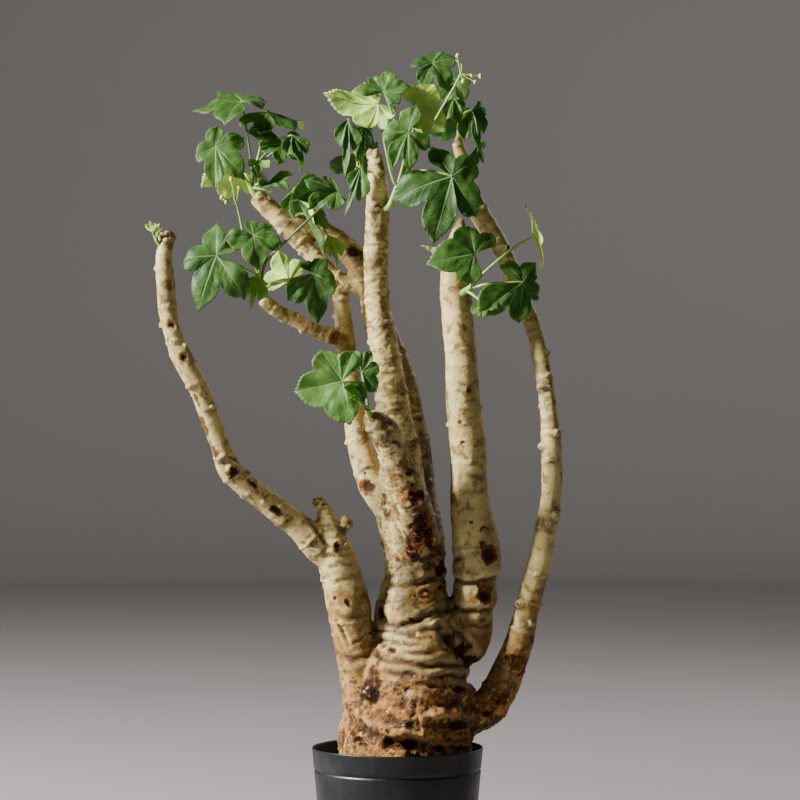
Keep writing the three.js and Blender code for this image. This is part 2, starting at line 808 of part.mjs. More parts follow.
function woodyPlant() {
  const stems = [
    tube(TRUNK, TRUNK_SIDES, { lobed: LOBED }),
    tube(FRONT_BRANCH, THICK_STEM_SIDES, { lobed: LOBED }),
    tube(BACK_STEM, THICK_STEM_SIDES, { lobed: LOBED }),
    tube(BEHIND_LEFT_STEM, THIN_STEM_SIDES, { lobed: LOBED }),
    tube(UPPER_LEFT_BRANCH, THIN_STEM_SIDES, { lobed: LOBED }),
    tube(LOWER_LEFT_BRANCH, THIN_STEM_SIDES, { lobed: LOBED }),
    tube(LEFT_STEM, THICK_STEM_SIDES, { lobed: LOBED }),
    tube(LEFT_LONG_BRANCH, THIN_STEM_SIDES, { lobed: LOBED }),
    tube(RIGHT_STEM, THICK_STEM_SIDES, { lobed: LOBED }),
    tube(RIGHT_OUTER_STEM, THIN_STEM_SIDES, { lobed: LOBED }),
    tube(LEFT_KNOB, SPUR_SIDES),
    tube(RIGHT_SPUR, SPUR_SIDES, { steps: 2 }),
    tube(LEFT_TIP_SPUR, SPUR_SIDES),
  ];
  return Object.values(SHOOTS).reduce((wood, each) => wood.subtract(socket(each)), joined(stems));
}

function wallRadius(height) {
  return THREE.MathUtils.lerp(BASE_RADIUS, RIM_RADIUS, height / POT_HEIGHT);
}

function lathe(profile, facets) {
  const geometry = new THREE.LatheGeometry(
    profile.map(([radius, height]) => new THREE.Vector2(radius, height)),
    facets,
  );
  return geometry.rotateX(Math.PI / 2);
}

function pot() {
  const groove = POT_HEIGHT - BAND_HEIGHT;
  const profile = [
    [0, 0],
    [BASE_RADIUS - 1.2, 0],
    [BASE_RADIUS, 1],
    [wallRadius(groove - 1) - 0.2, groove - 1],
    [wallRadius(groove) - GROOVE_DEPTH, groove],
    [wallRadius(groove + 1), groove + 1],
    [RIM_RADIUS, POT_HEIGHT - 0.8],
    [RIM_RADIUS - 0.6, POT_HEIGHT],
    [RIM_RADIUS - WALL + 0.3, POT_HEIGHT],
    [RIM_RADIUS - WALL - 0.1, POT_HEIGHT - 0.8],
    [wallRadius(groove) - WALL - GROOVE_DEPTH * 0.4, groove],
    [wallRadius(FLOOR + 2) - WALL, FLOOR + 2],
    [wallRadius(FLOOR) - WALL - 1.6, FLOOR],
    [0, FLOOR],
  ];
  let shell = solid(lathe(profile, POT_FACETS));
  for (let i = 0; i < DRAIN_COUNT; i++) {
    const turn = (2 * Math.PI * (i + 0.5)) / DRAIN_COUNT;
    const hole = new THREE.CylinderGeometry(DRAIN_RADIUS, DRAIN_RADIUS, FLOOR * 4, DRAIN_SIDES);
    hole.rotateX(Math.PI / 2);
    hole.translate(DRAIN_RING, 0, 0);
    const length = BASE_RADIUS - DRAIN_RING + 6;
    const channel = new THREE.BoxGeometry(length, CHANNEL_WIDTH, CHANNEL_DEPTH * 2);
    channel.translate(DRAIN_RING + length / 2, 0, 0);
    [hole, channel].forEach((cut) => {
      shell = shell.subtract(solid(cut.rotateZ(turn)));
    });
  }
  return shell;
}

function soil() {
  const top = POT_HEIGHT - SOIL_DROP;
  const inside = (height) => wallRadius(height) - WALL - GROOVE_DEPTH * 0.5 - CLEARANCE;
  const profile = [
    [0, FLOOR + CLEARANCE],
    [inside(FLOOR) - 1.8, FLOOR + CLEARANCE],
    [inside(FLOOR + 3), FLOOR + 3],
    [inside(top), top - 0.8],
    [inside(top) - 3, top],
    [inside(top) - 7, top + 0.6],
    [40, top + 0.4],
    [0, top],
  ];
  const geometry = lathe(profile, SOIL_FACETS);
  const position = geometry.attributes.position;
  for (let i = 0; i < position.count; i++) {
    const [x, y, z] = [position.getX(i), position.getY(i), position.getZ(i)];
    if (z < top - 0.1) continue;
    const turn = Math.atan2(y, x);
    position.setZ(i, z + SOIL_UNEVEN * (0.6 * Math.sin(7 * turn) + 0.4 * Math.sin(13 * turn + 1)));
  }
  const [across, depth, height, radius] = TRUNK[0];
  const buried = [[across, depth, height - CLEARANCE * 1.5, radius], ...TRUNK.slice(1, 8)];
  return solid(geometry).subtract(tube(buried, TRUNK_SIDES, { lobed: LOBED, swell: CLEARANCE * 1.6 }));
}

const plant = new THREE.Group();
plant.add(piece("pot", pot(), POT_COLOUR, 0.45));
plant.add(piece("soil", soil(), SOIL_COLOUR, 1));
plant.add(piece("woody_plant", woodyPlant(), WOOD_COLOUR, 0.7));
Object.entries(SHOOTS).forEach(([name, each]) => {
  plant.add(piece(name, shoot(each), name === "left_bud" ? BUD_COLOUR : LEAF_COLOUR, 0.45));
});

export default plant;
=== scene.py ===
import math
import random

import bmesh
import bpy
import numpy as np
from bpy.props import FloatProperty, FloatVectorProperty, IntProperty, PointerProperty
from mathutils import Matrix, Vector, noise


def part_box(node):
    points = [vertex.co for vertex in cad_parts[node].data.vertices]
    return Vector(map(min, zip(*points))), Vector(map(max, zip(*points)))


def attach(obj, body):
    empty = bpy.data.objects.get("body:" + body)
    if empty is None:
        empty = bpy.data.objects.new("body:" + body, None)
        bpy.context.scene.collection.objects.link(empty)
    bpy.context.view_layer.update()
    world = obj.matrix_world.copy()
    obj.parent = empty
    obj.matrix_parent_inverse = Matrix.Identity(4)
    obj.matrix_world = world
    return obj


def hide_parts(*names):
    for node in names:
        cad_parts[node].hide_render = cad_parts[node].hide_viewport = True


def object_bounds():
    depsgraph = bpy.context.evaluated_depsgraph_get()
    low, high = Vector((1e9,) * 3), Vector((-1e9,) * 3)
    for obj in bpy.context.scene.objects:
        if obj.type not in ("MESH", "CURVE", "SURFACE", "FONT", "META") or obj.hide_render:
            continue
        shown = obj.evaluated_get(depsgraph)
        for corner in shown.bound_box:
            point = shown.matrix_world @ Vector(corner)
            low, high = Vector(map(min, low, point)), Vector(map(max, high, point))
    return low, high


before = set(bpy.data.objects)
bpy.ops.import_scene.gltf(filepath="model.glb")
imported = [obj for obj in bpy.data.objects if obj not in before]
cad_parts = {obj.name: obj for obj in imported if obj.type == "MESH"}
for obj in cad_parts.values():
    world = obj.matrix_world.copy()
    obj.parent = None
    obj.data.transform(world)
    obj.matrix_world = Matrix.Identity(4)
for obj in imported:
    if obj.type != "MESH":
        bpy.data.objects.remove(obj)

bl_info = {
    "name": "Potted caudex plant",
    "version": (1, 0, 0),
    "blender": (4, 5, 0),
    "location": "View3D > Sidebar > Caudex Plant",
    "description": "Builds a caudex plant with bare woody stems and lobed leaves in a plastic pot",
    "category": "Add Mesh",
}

CAD_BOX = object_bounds()
MM = 0.001
BODY = "root"

# The viewpoint that the plant's points line up from, in millimetres, and its picture.
VIEW_X = 1.7
VIEW_HEIGHT = 367.5
VIEW_DISTANCE = 2065
LENS = 132.75
SENSOR = 36

POT_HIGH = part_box("pot")[1]
SOIL_LOW, SOIL_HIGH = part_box("soil")
POT_HEIGHT = POT_HIGH.z
RIM_RADIUS = POT_HIGH.y

# The woody stems, as [across, depth, height, radius] in millimetres.
STEMS = {
    "trunk": [
        [0, 0, 66, 30], [1, 0, 74, 39], [3, 0, 92, 45], [5, 0, 112, 47.5],
        [5, 0, 129.5, 46.5], [7, 0, 143.5, 45], [10, 0, 157.5, 44], [10, 0, 171.5, 41],
        [13, 0, 185.5, 38], [14, 0, 199.5, 33], [11, 0, 213.5, 28], [10.8, 0, 227.5, 25],
        [12, 0, 241.5, 21.5], [11.5, 0, 255.5, 20.6], [9, 0, 269.5, 21], [6.3, 0, 283.5, 20.4],
        [3.6, 0, 297.5, 18.6], [2.4, 0, 315, 15.8], [1.8, 0, 332.5, 14], [-3, 0, 360.5, 12],
        [-10, 0, 409.5, 10.2], [-13.7, 0, 430.5, 9], [-15, 0, 451.5, 8.7], [-15, 0, 476, 8.5],
        [-13.7, 0, 497, 8.4], [-13.7, 0, 514.5, 8.2], [-15, 0, 532, 6], [-16.5, 0, 541, 4.5],
    ],
    "front_branch": [
        [13, -4, 248, 11], [14.5, -9, 262.5, 13.5], [12.9, -15, 276.5, 13.5], [10.1, -20, 290.5, 12.6],
        [5.9, -24, 304.5, 11.8], [0.3, -28, 318.5, 11.3], [-3.9, -31, 332.5, 10.7], [-9.5, -35, 345, 10],
        [-15, -38, 351, 8.6], [-19, -41, 355.5, 6],
    ],
    "back_stem": [
        [17, 12, 245, 15], [18.5, 20, 269.5, 14.5], [14, 25, 297, 14], [9, 28, 340, 13],
        [0, 30, 385, 12.3], [-7.2, 31, 406, 11.5], [-13.7, 31, 425.6, 10.5], [-18, 31, 444.5, 10],
        [-25.5, 32, 461, 9.5], [-36.8, 33, 474, 8.5], [-50.8, 34, 484.4, 7.5], [-61, 34, 490, 6.5],
        [-69.7, 34, 494, 5.5],
    ],
    "behind_left_stem": [
        [-1, 6, 283, 9], [-10.5, 11, 296, 9.4], [-17.5, 16, 308, 9.6], [-22, 21, 320, 9.6],
        [-25.8, 26, 334, 9.3], [-28.6, 28, 347, 8.5], [-33, 30, 378, 7.5], [-35.4, 32, 406, 6.8],
        [-39.6, 32, 434, 6.3], [-43, 32, 450, 6],
    ],
    "upper_left_branch": [
        [-18, 31, 444, 7], [-32, 30, 448, 5.8], [-43, 31, 454, 5.6], [-53, 32, 462.7, 6],
        [-64.8, 33, 475, 6.5], [-76.7, 34, 488, 7], [-88, 35, 499.8, 7.2], [-97.7, 35, 509, 6.5],
    ],
    "lower_left_branch": [
        [-35.4, 30, 402.5, 6], [-45, 26, 411.6, 6], [-57.8, 23, 415.8, 5.5], [-71.8, 20, 423.5, 5.2],
        [-84.4, 17, 429.8, 5], [-93.5, 15, 437, 5],
    ],
    "left_stem": [
        [-8, -2, 132, 18], [-18, -6, 157.5, 20], [-25, -8, 182, 16], [-32, -10, 207, 14.6],
        [-34.7, -12, 224, 15.3], [-39.6, -13, 245, 14], [-45.2, -14, 263.9, 13], [-48, -14, 276.5, 9],
        [-51.5, -14, 290.5, 5], [-56, -14, 297.5, 3.8],
    ],
    "left_long_branch": [
        [-44, -14, 254, 9], [-54, -16, 264, 11], [-68.3, -19, 278.6, 9.5], [-78.8, -22, 287, 9],
        [-96.3, -27, 300.3, 8.3], [-110, -31, 311.5, 8.5], [-118, -34, 320, 8.7], [-123, -36, 332.5, 7.3],
        [-130.6, -39, 353.5, 7], [-137.6, -42, 372.4, 7], [-145.3, -44, 387, 7.3], [-151.6, -45, 399, 7.3],
        [-156.5, -46, 413, 6.6], [-160.7, -46, 429, 6.4], [-162.8, -46, 450.8, 6.4], [-163.5, -46, 467, 5.8],
        [-162, -45, 476.7, 5.3], [-160.7, -45, 484, 4.6],
    ],
    "right_stem": [
        [18, 0, 160, 18], [29, 1, 176, 17], [40, 3, 190.5, 16], [48.5, 4, 200, 16],
        [51.8, 4, 209.5, 15], [52.4, 4, 219.8, 14.2], [53.8, 4, 230.2, 16.3], [53.6, 4, 238.8, 14.7],
        [54.5, 4, 247.5, 16.2], [55.6, 4, 258, 16.8], [54.2, 3, 271.4, 16.2], [52.1, 3, 287.9, 14.7],
        [50.3, 3, 303, 13.6], [49.9, 3, 314.7, 12.8], [48.4, 2, 339.5, 12.9], [45.8, 2, 367.5, 12],
        [44.4, 1, 402.5, 11.3], [40.9, 0, 437.5, 11.2], [40.2, 0, 451.5, 10.7], [40.9, 0, 469, 9],
        [43, 0, 483, 6.5], [44.4, 0, 494, 3.2],
    ],
    "right_outer_stem": [
        [24, 1, 147, 17], [38, 2, 148, 16], [54, 3, 149, 13.5], [64, 4, 153, 12.8],
        [72, 5, 164.5, 12.2], [78.2, 5, 180, 11.3], [83.9, 3, 195, 10.2], [88.8, 1, 213, 8.9],
        [94.3, -2, 235, 8.6], [100.4, -4, 256.5, 8.2], [105.4, -5, 285, 7.8], [107.9, -5, 308, 7.4],
        [107.6, -3, 336, 7.3], [106, 2, 360.5, 6.4], [102, 9, 388, 6.2], [95.5, 17, 416.5, 6],
        [87, 23, 437.5, 6.3], [77.3, 28, 463.4, 6.5], [70.3, 30, 477.4, 7.3], [61.2, 29, 492, 7.5],
        [53.5, 27, 504.7, 7.3], [48.6, 26, 520, 6.3], [45.8, 25, 535.5, 5.3], [43, 25, 544, 4.6],
        [43, 25, 552, 2.6],
    ],
    "left_knob": [
        [-44, -14, 266, 4], [-38.5, -15, 274, 2.6], [-36.5, -15, 279, 4], [-34, -15, 283, 4],
    ],
    "right_spur": [
        [37, -1, 468, 4.5], [28, -3, 471.5, 3.2], [16, -6, 476, 0.8],
    ],
    "left_tip_spur": [
        [-144, -45, 396, 3], [-147, -50, 402, 2.4], [-149, -53, 407, 1.2],
    ],
}

# Each stem's finish: [green at its foot, green at its tip, brown mottle at its foot, at its tip,
# millimetres from one leaf scar to the next, how old its bark looks].
STEM_FINISH = {
    "trunk": [0.25, 0.1, 0.45, 0.6, 9, 0.3],
    "front_branch": [0.1, 0.05, 0.65, 0.8, 8, 0.42],
    "back_stem": [0.5, 0.1, 0.6, 1.0, 9, 0.3],
    "behind_left_stem": [0.6, 0.2, 0.5, 0.4, 11, 0.3],
    "upper_left_branch": [0.1, 0.1, 0.55, 0.55, 9, 0.42],
    "lower_left_branch": [0.05, 0.05, 0.8, 0.7, 8, 0.45],
    "left_stem": [0.2, 0.5, 0.5, 0.35, 15, 0.1],
    "left_long_branch": [0.15, 0.1, 0.5, 0.4, 11, 0.45],
    "right_stem": [0.35, 0.6, 0.3, 0.45, 17, 0.08],
    "right_outer_stem": [0.4, 0.8, 0.35, 0.3, 14, 0.32],
    "left_knob": [0, 0, 0.6, 0.8, 99, 0.4],
    "right_spur": [0, 0, 0.3, 0.2, 99, 0.3],
    "left_tip_spur": [0, 0, 0.5, 0.7, 99, 0.3],
}
CUT_TIPS = ("trunk", "left_stem", "left_long_branch", "left_knob", "behind_left_stem")

# Marks on the bark, placed as the front shows them, in millimetres.
# Sunken scars: [across, height, half width, half height, tilt in degrees, darkness].
SCARS = [
    [-42.3, 263.9, 2.9, 4.4, 8, 0.9], [-43.9, 229, 1.3, 1.5, 0, 0.7], [-35, 225.3, 2, 3.3, 20, 0.7],
    [-19.6, 204.5, 0.9, 1, 0, 0.8], [63.6, 259.8, 4.8, 6, 15, 1], [60.4, 230.4, 5.2, 4.6, -35, 1],
    [59, 213.6, 3.6, 3, 0, 0.35], [49.7, 373.8, 1.5, 2.4, 0, 0.6], [43.4, 352.2, 1.7, 2.3, 15, 0.5],
    [45.3, 338, 1.7, 1.2, 0, 0.6], [51.6, 281.7, 1.8, 1.5, 0, 0.5], [6.5, 164.8, 2.6, 1.9, -20, 0.95],
    [42.3, 164.8, 5, 1.7, 0, 1], [30, 173.4, 2.4, 1.3, 0, 0.7], [-2.5, 191.7, 2.8, 2.2, 0, 0.8],
    [-11.2, 218.5, 1.6, 5, -5, 0.85], [29, 247.5, 3.6, 4.2, 0, 0.75], [30, 236.6, 2.2, 2.4, 0, 0.6],
    [-2.7, 369.4, 2, 1.5, 0, 0.45], [-5, 392, 2.2, 1.8, 0, 0.35], [-20.8, 307.4, 4.6, 5, 20, 0.75],
    [-22.8, 316, 1, 1.4, 0, 0.8], [-157.8, 419.7, 2.8, 5, 22, 0.4], [-149.7, 397.2, 3.2, 4.2, 25, 0.42],
    [-101.4, 308.6, 1.6, 4.4, 45, 0.45], [-85.3, 290.9, 2.2, 5.6, 48, 0.75], [-77.3, 282.9, 1, 2.6, 30, 0.5],
    [8.1, 317, 2.8, 2.8, 0, 0.8], [10.4, 308.6, 1.6, 2.2, 0, 0.6], [15.4, 301.3, 3.2, 3.4, 0, 0.85],
    [-6.1, 310, 1.4, 1.4, 0, 0.3], [-9, 295.4, 1.6, 1.6, 0, 0.35],
]
# Holes in the cork, painted black inside as shade: [across, height, half width, half height].
HOLES = [
    [-6.4, 127.5, 5.6, 4.4], [8.5, 125.5, 5, 4.6], [-27, 130, 2.6, 2.2],
    [30, 124, 3, 2.4], [-32, 150, 2.2, 1.6], [62, 148, 4, 2],
]
# Round knobs: [across, height, radius, darkness].
KNOBS = [
    [-20.4, 161.4, 6.6, 1], [-11.5, 193.3, 2.8, 0.1], [-7, 192.3, 2.4, 0.1],
    [41.2, 150.8, 3.8, 0], [34, 216, 2, 0], [31.5, 271, 2.4, 0.7],
    [85.4, 224.7, 3.2, 0.4], [101, 375.9, 3, 0.35], [111.5, 344.7, 2.8, 0.2],
    [99.4, 335, 3, 0.2], [110.5, 287, 3.2, 0.3], [106, 401, 2, 0.3],
    [93.5, 211, 2.4, 0.2], [70.5, 480, 2.2, 0.5], [76.6, 474, 2.2, 0.5],
    [60.5, 502.6, 2.4, 0.4], [-118, 319, 3, 0.1], [-113, 315.5, 2.6, 0.3],
    [-117, 313, 2.2, 0], [-124.5, 325.5, 2.2, 0.4], [-155, 461, 2, 0.3],
    [-166, 441, 1.8, 0.1], [-94, 296, 2.2, 0], [-31.5, 330, 1.8, 0.1],
    [12.5, 294, 2, 0.1],
]
# Pale spots: [across, height, radius].
SPOTS = [
    [-4.9, 348.1, 1.7], [10, 312, 2.2], [15.8, 295.2, 1.8],
    [-24.8, 313.5, 1.3], [-20.4, 313.6, 1.6], [8.6, 161.8, 3],
    [14, 204, 1.6], [-21.6, 163, 1.2], [-18.4, 160, 0.9],
    [-20, 165.5, 0.8],
]
# Stains: [across, height, half width, half height, tilt in degrees, redness, strength].
STAINS = [
    [37, 200, 8, 6, 45, 0.35, 1], [45, 192, 10, 6, 48, 0.3, 1],
    [51, 185, 8, 6, 0, 0.2, 1], [9.8, 214, 4.2, 2.6, -20, 0.4, 0.9],
    [-3, 214.5, 4.6, 3.4, 0, 0.3, 0.6], [26, 262, 7, 9, 0, 0.5, 0.8],
    [31, 249, 7, 6, 30, 0.6, 0.9], [22, 252, 9, 3, 15, 0.5, 0.7],
    [43, 139, 10, 4, 8, 0.2, 1], [3, 126, 15, 4, 0, 0.2, 0.8],
    [-29, 135, 6, 4, 30, 0.3, 0.8], [42, 165, 9, 3.6, 0, 0.3, 0.7],
    [4.6, 354.2, 5, 4, 0, 0.6, 0.7], [13, 338, 5, 6, 0, 0.6, 0.8],
    [-14.5, 186, 5, 11, 0, 0.4, 0.8], [-15, 178, 6, 9, -15, 0.5, 0.85],
    [-18, 168, 10, 11, 0, 0.4, 0.9], [-19, 161, 9, 8, 0, 0.15, 0.95],
    # The first two stains below, on the trunk's middle, are painted shade.
    [8, 242, 12, 17, 0, 0.2, 0.42], [10, 222, 14, 6, 0, 0.2, 0.42],
    [33, 236, 4, 12, 0, 0.2, 0.5], [5, 197, 16, 3, 0, 0.4, 0.35],
    [-2, 179, 14, 3, 0, 0.5, 0.4], [25, 163, 18, 8, 0, 0.4, 0.4],
    [-27, 173, 9, 7, 0, 0.5, 0.6], [-36.5, 206, 3, 8, 25, 0.9, 0.5],
    [-30, 187, 8, 6, 0, 0.7, 0.45], [17, 280, 8, 12, 15, 0.7, 1],
    [12, 266, 9, 8, 0, 0.6, 0.9], [20, 264, 8, 6, 0, 0.5, 0.9],
    [13, 290, 7, 3, 0, 0.6, 0.8], [-9, 350, 6, 4, 0, 0.3, 0.6],
    [-4, 339, 5, 4, 0, 0.4, 0.5], [-21, 306, 6, 6.5, 15, 0.8, 0.9],
    [-26.7, 324.3, 3, 3, 0, 0.5, 0.5], [-140.5, 367, 1.8, 9, 25, 1, 0.8],
    [-135.5, 350, 2, 11, 20, 1, 0.75], [-128.5, 331, 1.8, 7, 20, 0.9, 0.75],
    [-151, 399, 4.5, 6, 25, 0.8, 0.45], [-158, 420, 4, 7, 22, 0.8, 0.4],
    [-158, 408, 3, 4, 20, 0.8, 0.6], [-86, 291, 4, 7, 48, 0.7, 0.8],
    [50, 444, 9, 5, 20, 0.2, 0.5], [63, 262, 9, 10, 0, 0.5, 0.55],
    [62, 277, 6, 5, 0, 0.5, 0.6], [62, 233, 8, 8, 0, 0.8, 0.6],
    [60, 214, 7, 4, 0, 0.5, 0.4], [-44, 411, 7, 6, 0, 0.9, 0.8],
    [-88, 433, 4, 4, 0, 0.7, 0.6], [-96, 507, 5, 4, 0, 0.7, 0.7],
    [24, 330, 8, 12, 0, 0.6, 0.7], [-30, 470, 12, 6, -30, 0.3, 0.8],
    [70, 158, 10, 9, 0, 0.6, 0.8], [84, 184, 9, 12, 20, 0.9, 0.7],
    [93, 200, 4, 12, 20, 0.7, 0.6],
]
# Patches of torn, flaky bark: [across, height, half width, half height, tilt in degrees].
PEELS = [
    [17, 276, 8, 15, 20], [12.5, 299, 6, 9, 15], [12, 262, 8, 6, 0],
    [31, 250, 4, 6, 0], [58, 236, 4, 2.5, -30], [79, 187, 5, 4, 0],
    [-116, 317, 5, 4, 0],
]
# Creases, painted darker in their bottoms as shade: [depth mm, width mm, points as (across, height)].
# A negative depth is a ledge.
CREASES = [
    [1.1, 2.2, [(-4.7, 256.6), (8.7, 254.2), (24.4, 258.3)]],
    [1.8, 1.7, [(-4, 237), (6.5, 237.8), (15.4, 238.7), (24.4, 242.1), (35, 243)]],
    [-0.9, 1.4, [(10.9, 245.6), (17, 245), (24, 246.4)]],
    [2.4, 1.9, [(-10.3, 216.3), (-7, 210.1), (0.9, 208.7), (10.9, 211.8), (19.9, 216.3), (26, 219.4),
                (37, 220.8)]],
    [1.3, 1.5, [(3.5, 210), (8, 206.6), (13.2, 205.1), (24.4, 206.2), (30, 208)]],
    [1.2, 1.3, [(13.2, 213.5), (21, 211.8), (28.9, 216.3)]],
    [2.2, 1.8, [(-15, 206.6), (-7, 206), (-0.3, 205.1), (6.5, 202.9), (15.4, 200.8), (23, 201.4)]],
    [1.5, 1.6, [(-12, 200.6), (0.9, 197.3), (8.7, 196.1), (18, 196.9)]],
    [2.8, 2, [(-13, 187), (-4.7, 184.7), (3.1, 184.4), (10.9, 182.7), (19.9, 180.7), (31.1, 182.1),
              (52, 181.4)]],
    [1.4, 1.8, [(-8, 177.5), (2, 175.4), (12, 176.6)]],
    [1.8, 1.7, [(25, 173), (36.7, 175.3), (49, 172)]],
    [1.2, 1.6, [(14, 169), (24, 167), (33, 168.5)]],
    [2.8, 3, [(30, 206), (37.8, 197.3), (45.7, 190.5), (52, 184)]],
    [1, 1.6, [(4, 191), (14, 189.5), (26, 190.5)]],
    [-2.8, 3, [(-36, 156), (-27, 147), (-19.3, 141.3), (-2.5, 134.4), (6, 133.4), (17, 133)]],
    [3, 3.6, [(-36, 146), (-26, 138), (-14, 131), (-3, 127), (14, 126)]],
    [-2.2, 2.8, [(18, 146), (32, 149), (47, 146)]],
    [2.6, 3, [(24, 139), (38, 139.5), (52, 141)]],
    [1, 1.1, [(32, 135), (42, 134), (50, 134)]],
    [1, 1.1, [(32, 130), (42, 129), (50, 129)]],
    [1, 1.1, [(33, 125), (42, 124), (50, 124)]],
    [2.3, 1.7, [(37, 243), (47, 239.2), (55, 239.8), (63, 241.5), (72, 244.6)]],
    [1.9, 1.6, [(37, 222.8), (48, 219.6), (58, 219.6), (69, 220.5)]],
    [1.7, 1.9, [(36, 212), (42.3, 205.1), (47.9, 198.4), (53, 190)]],
    [0.8, 1.4, [(51, 210), (58, 208.6), (66, 210)]],
    [1.3, 1.6, [(36, 256), (40, 255.5), (44, 256.6)]],
    [1, 3, [(46, 316.5), (52, 314), (58, 314), (65, 317)]],
    [0.6, 2, [(44, 305), (52, 303.3), (62, 304.4)]],
    [-0.7, 1.2, [(95, 375), (101, 376.5), (107, 376)]],
    [-0.7, 1.2, [(99, 344), (106, 345.5), (112, 344)]],
    [-0.6, 1.2, [(97, 288), (104, 287), (111, 286.5)]],
    [0.7, 1.2, [(46, 379), (50, 377), (55, 381)]],
    [1.8, 1, [(-42.5, 213), (-38.5, 205), (-34.3, 195.6)]],
    [0.9, 0.8, [(-33, 196.6), (-28, 198.4), (-21, 205)]],
    [0.7, 2.4, [(-55, 243), (-44, 240.5), (-30, 243)]],
    [0.8, 2.4, [(-46, 218), (-34, 214), (-22, 217)]],
    [1, 2, [(-42, 190), (-32, 186), (-22, 188)]],
    [2.2, 1.8, [(-1.5, 293), (0.3, 285), (1.4, 275), (4, 262)]],
    [1.6, 0.9, [(0.9, 283), (4, 276.5), (8.7, 269), (10, 264)]],
    [1, 0.9, [(5, 291), (10, 286), (15, 284)]],
    [0.9, 0.9, [(-13.5, 336.5), (-9, 334), (-3, 335)]],
    [1.4, 1.2, [(-119, 329), (-113, 325), (-108, 322)]],
    [1.4, 1.3, [(-65, 287), (-57, 277), (-52, 268)]],
]
# Zones of olive-brown, mostly painted shade where other stems shade the trunk, the front branch and the
# central
# stem, and partly older bark: [across, height, half width, half height, tilt in degrees, strength].
SHADE_AND_AGE_ZONES = [
    [12, 238, 20, 30, 0, 1], [30, 236, 12, 30, 0, 0.9], [22, 262, 14, 12, 0, 0.85],
    [6, 208, 24, 8, -5, 0.75], [14, 197, 26, 4, -5, 0.4], [-30, 188, 12, 22, 0, 0.3],
    [14, 178, 34, 7, 0, 0.5], [22, 410, 9, 70, 0, 0.5], [17, 282, 9, 34, 12, 0.8],
    [62, 206, 10, 12, 0, 0.5], [42, 246, 5, 30, 0, 0.5], [-24, 205, 7, 32, 12, 0.4],
    [24, 330, 10, 60, 0, 0.6], [-132, 350, 9, 45, 25, 0.35], [3, 300, 12, 26, 12, 0.35],
    [20, 214, 30, 3, 10, 0.6], [-90, 292, 20, 8, -45, 0.35],
]
# A round scar of tan and brown rings: across, height, radius.
RING_SCAR = [19.2, 232, 9]
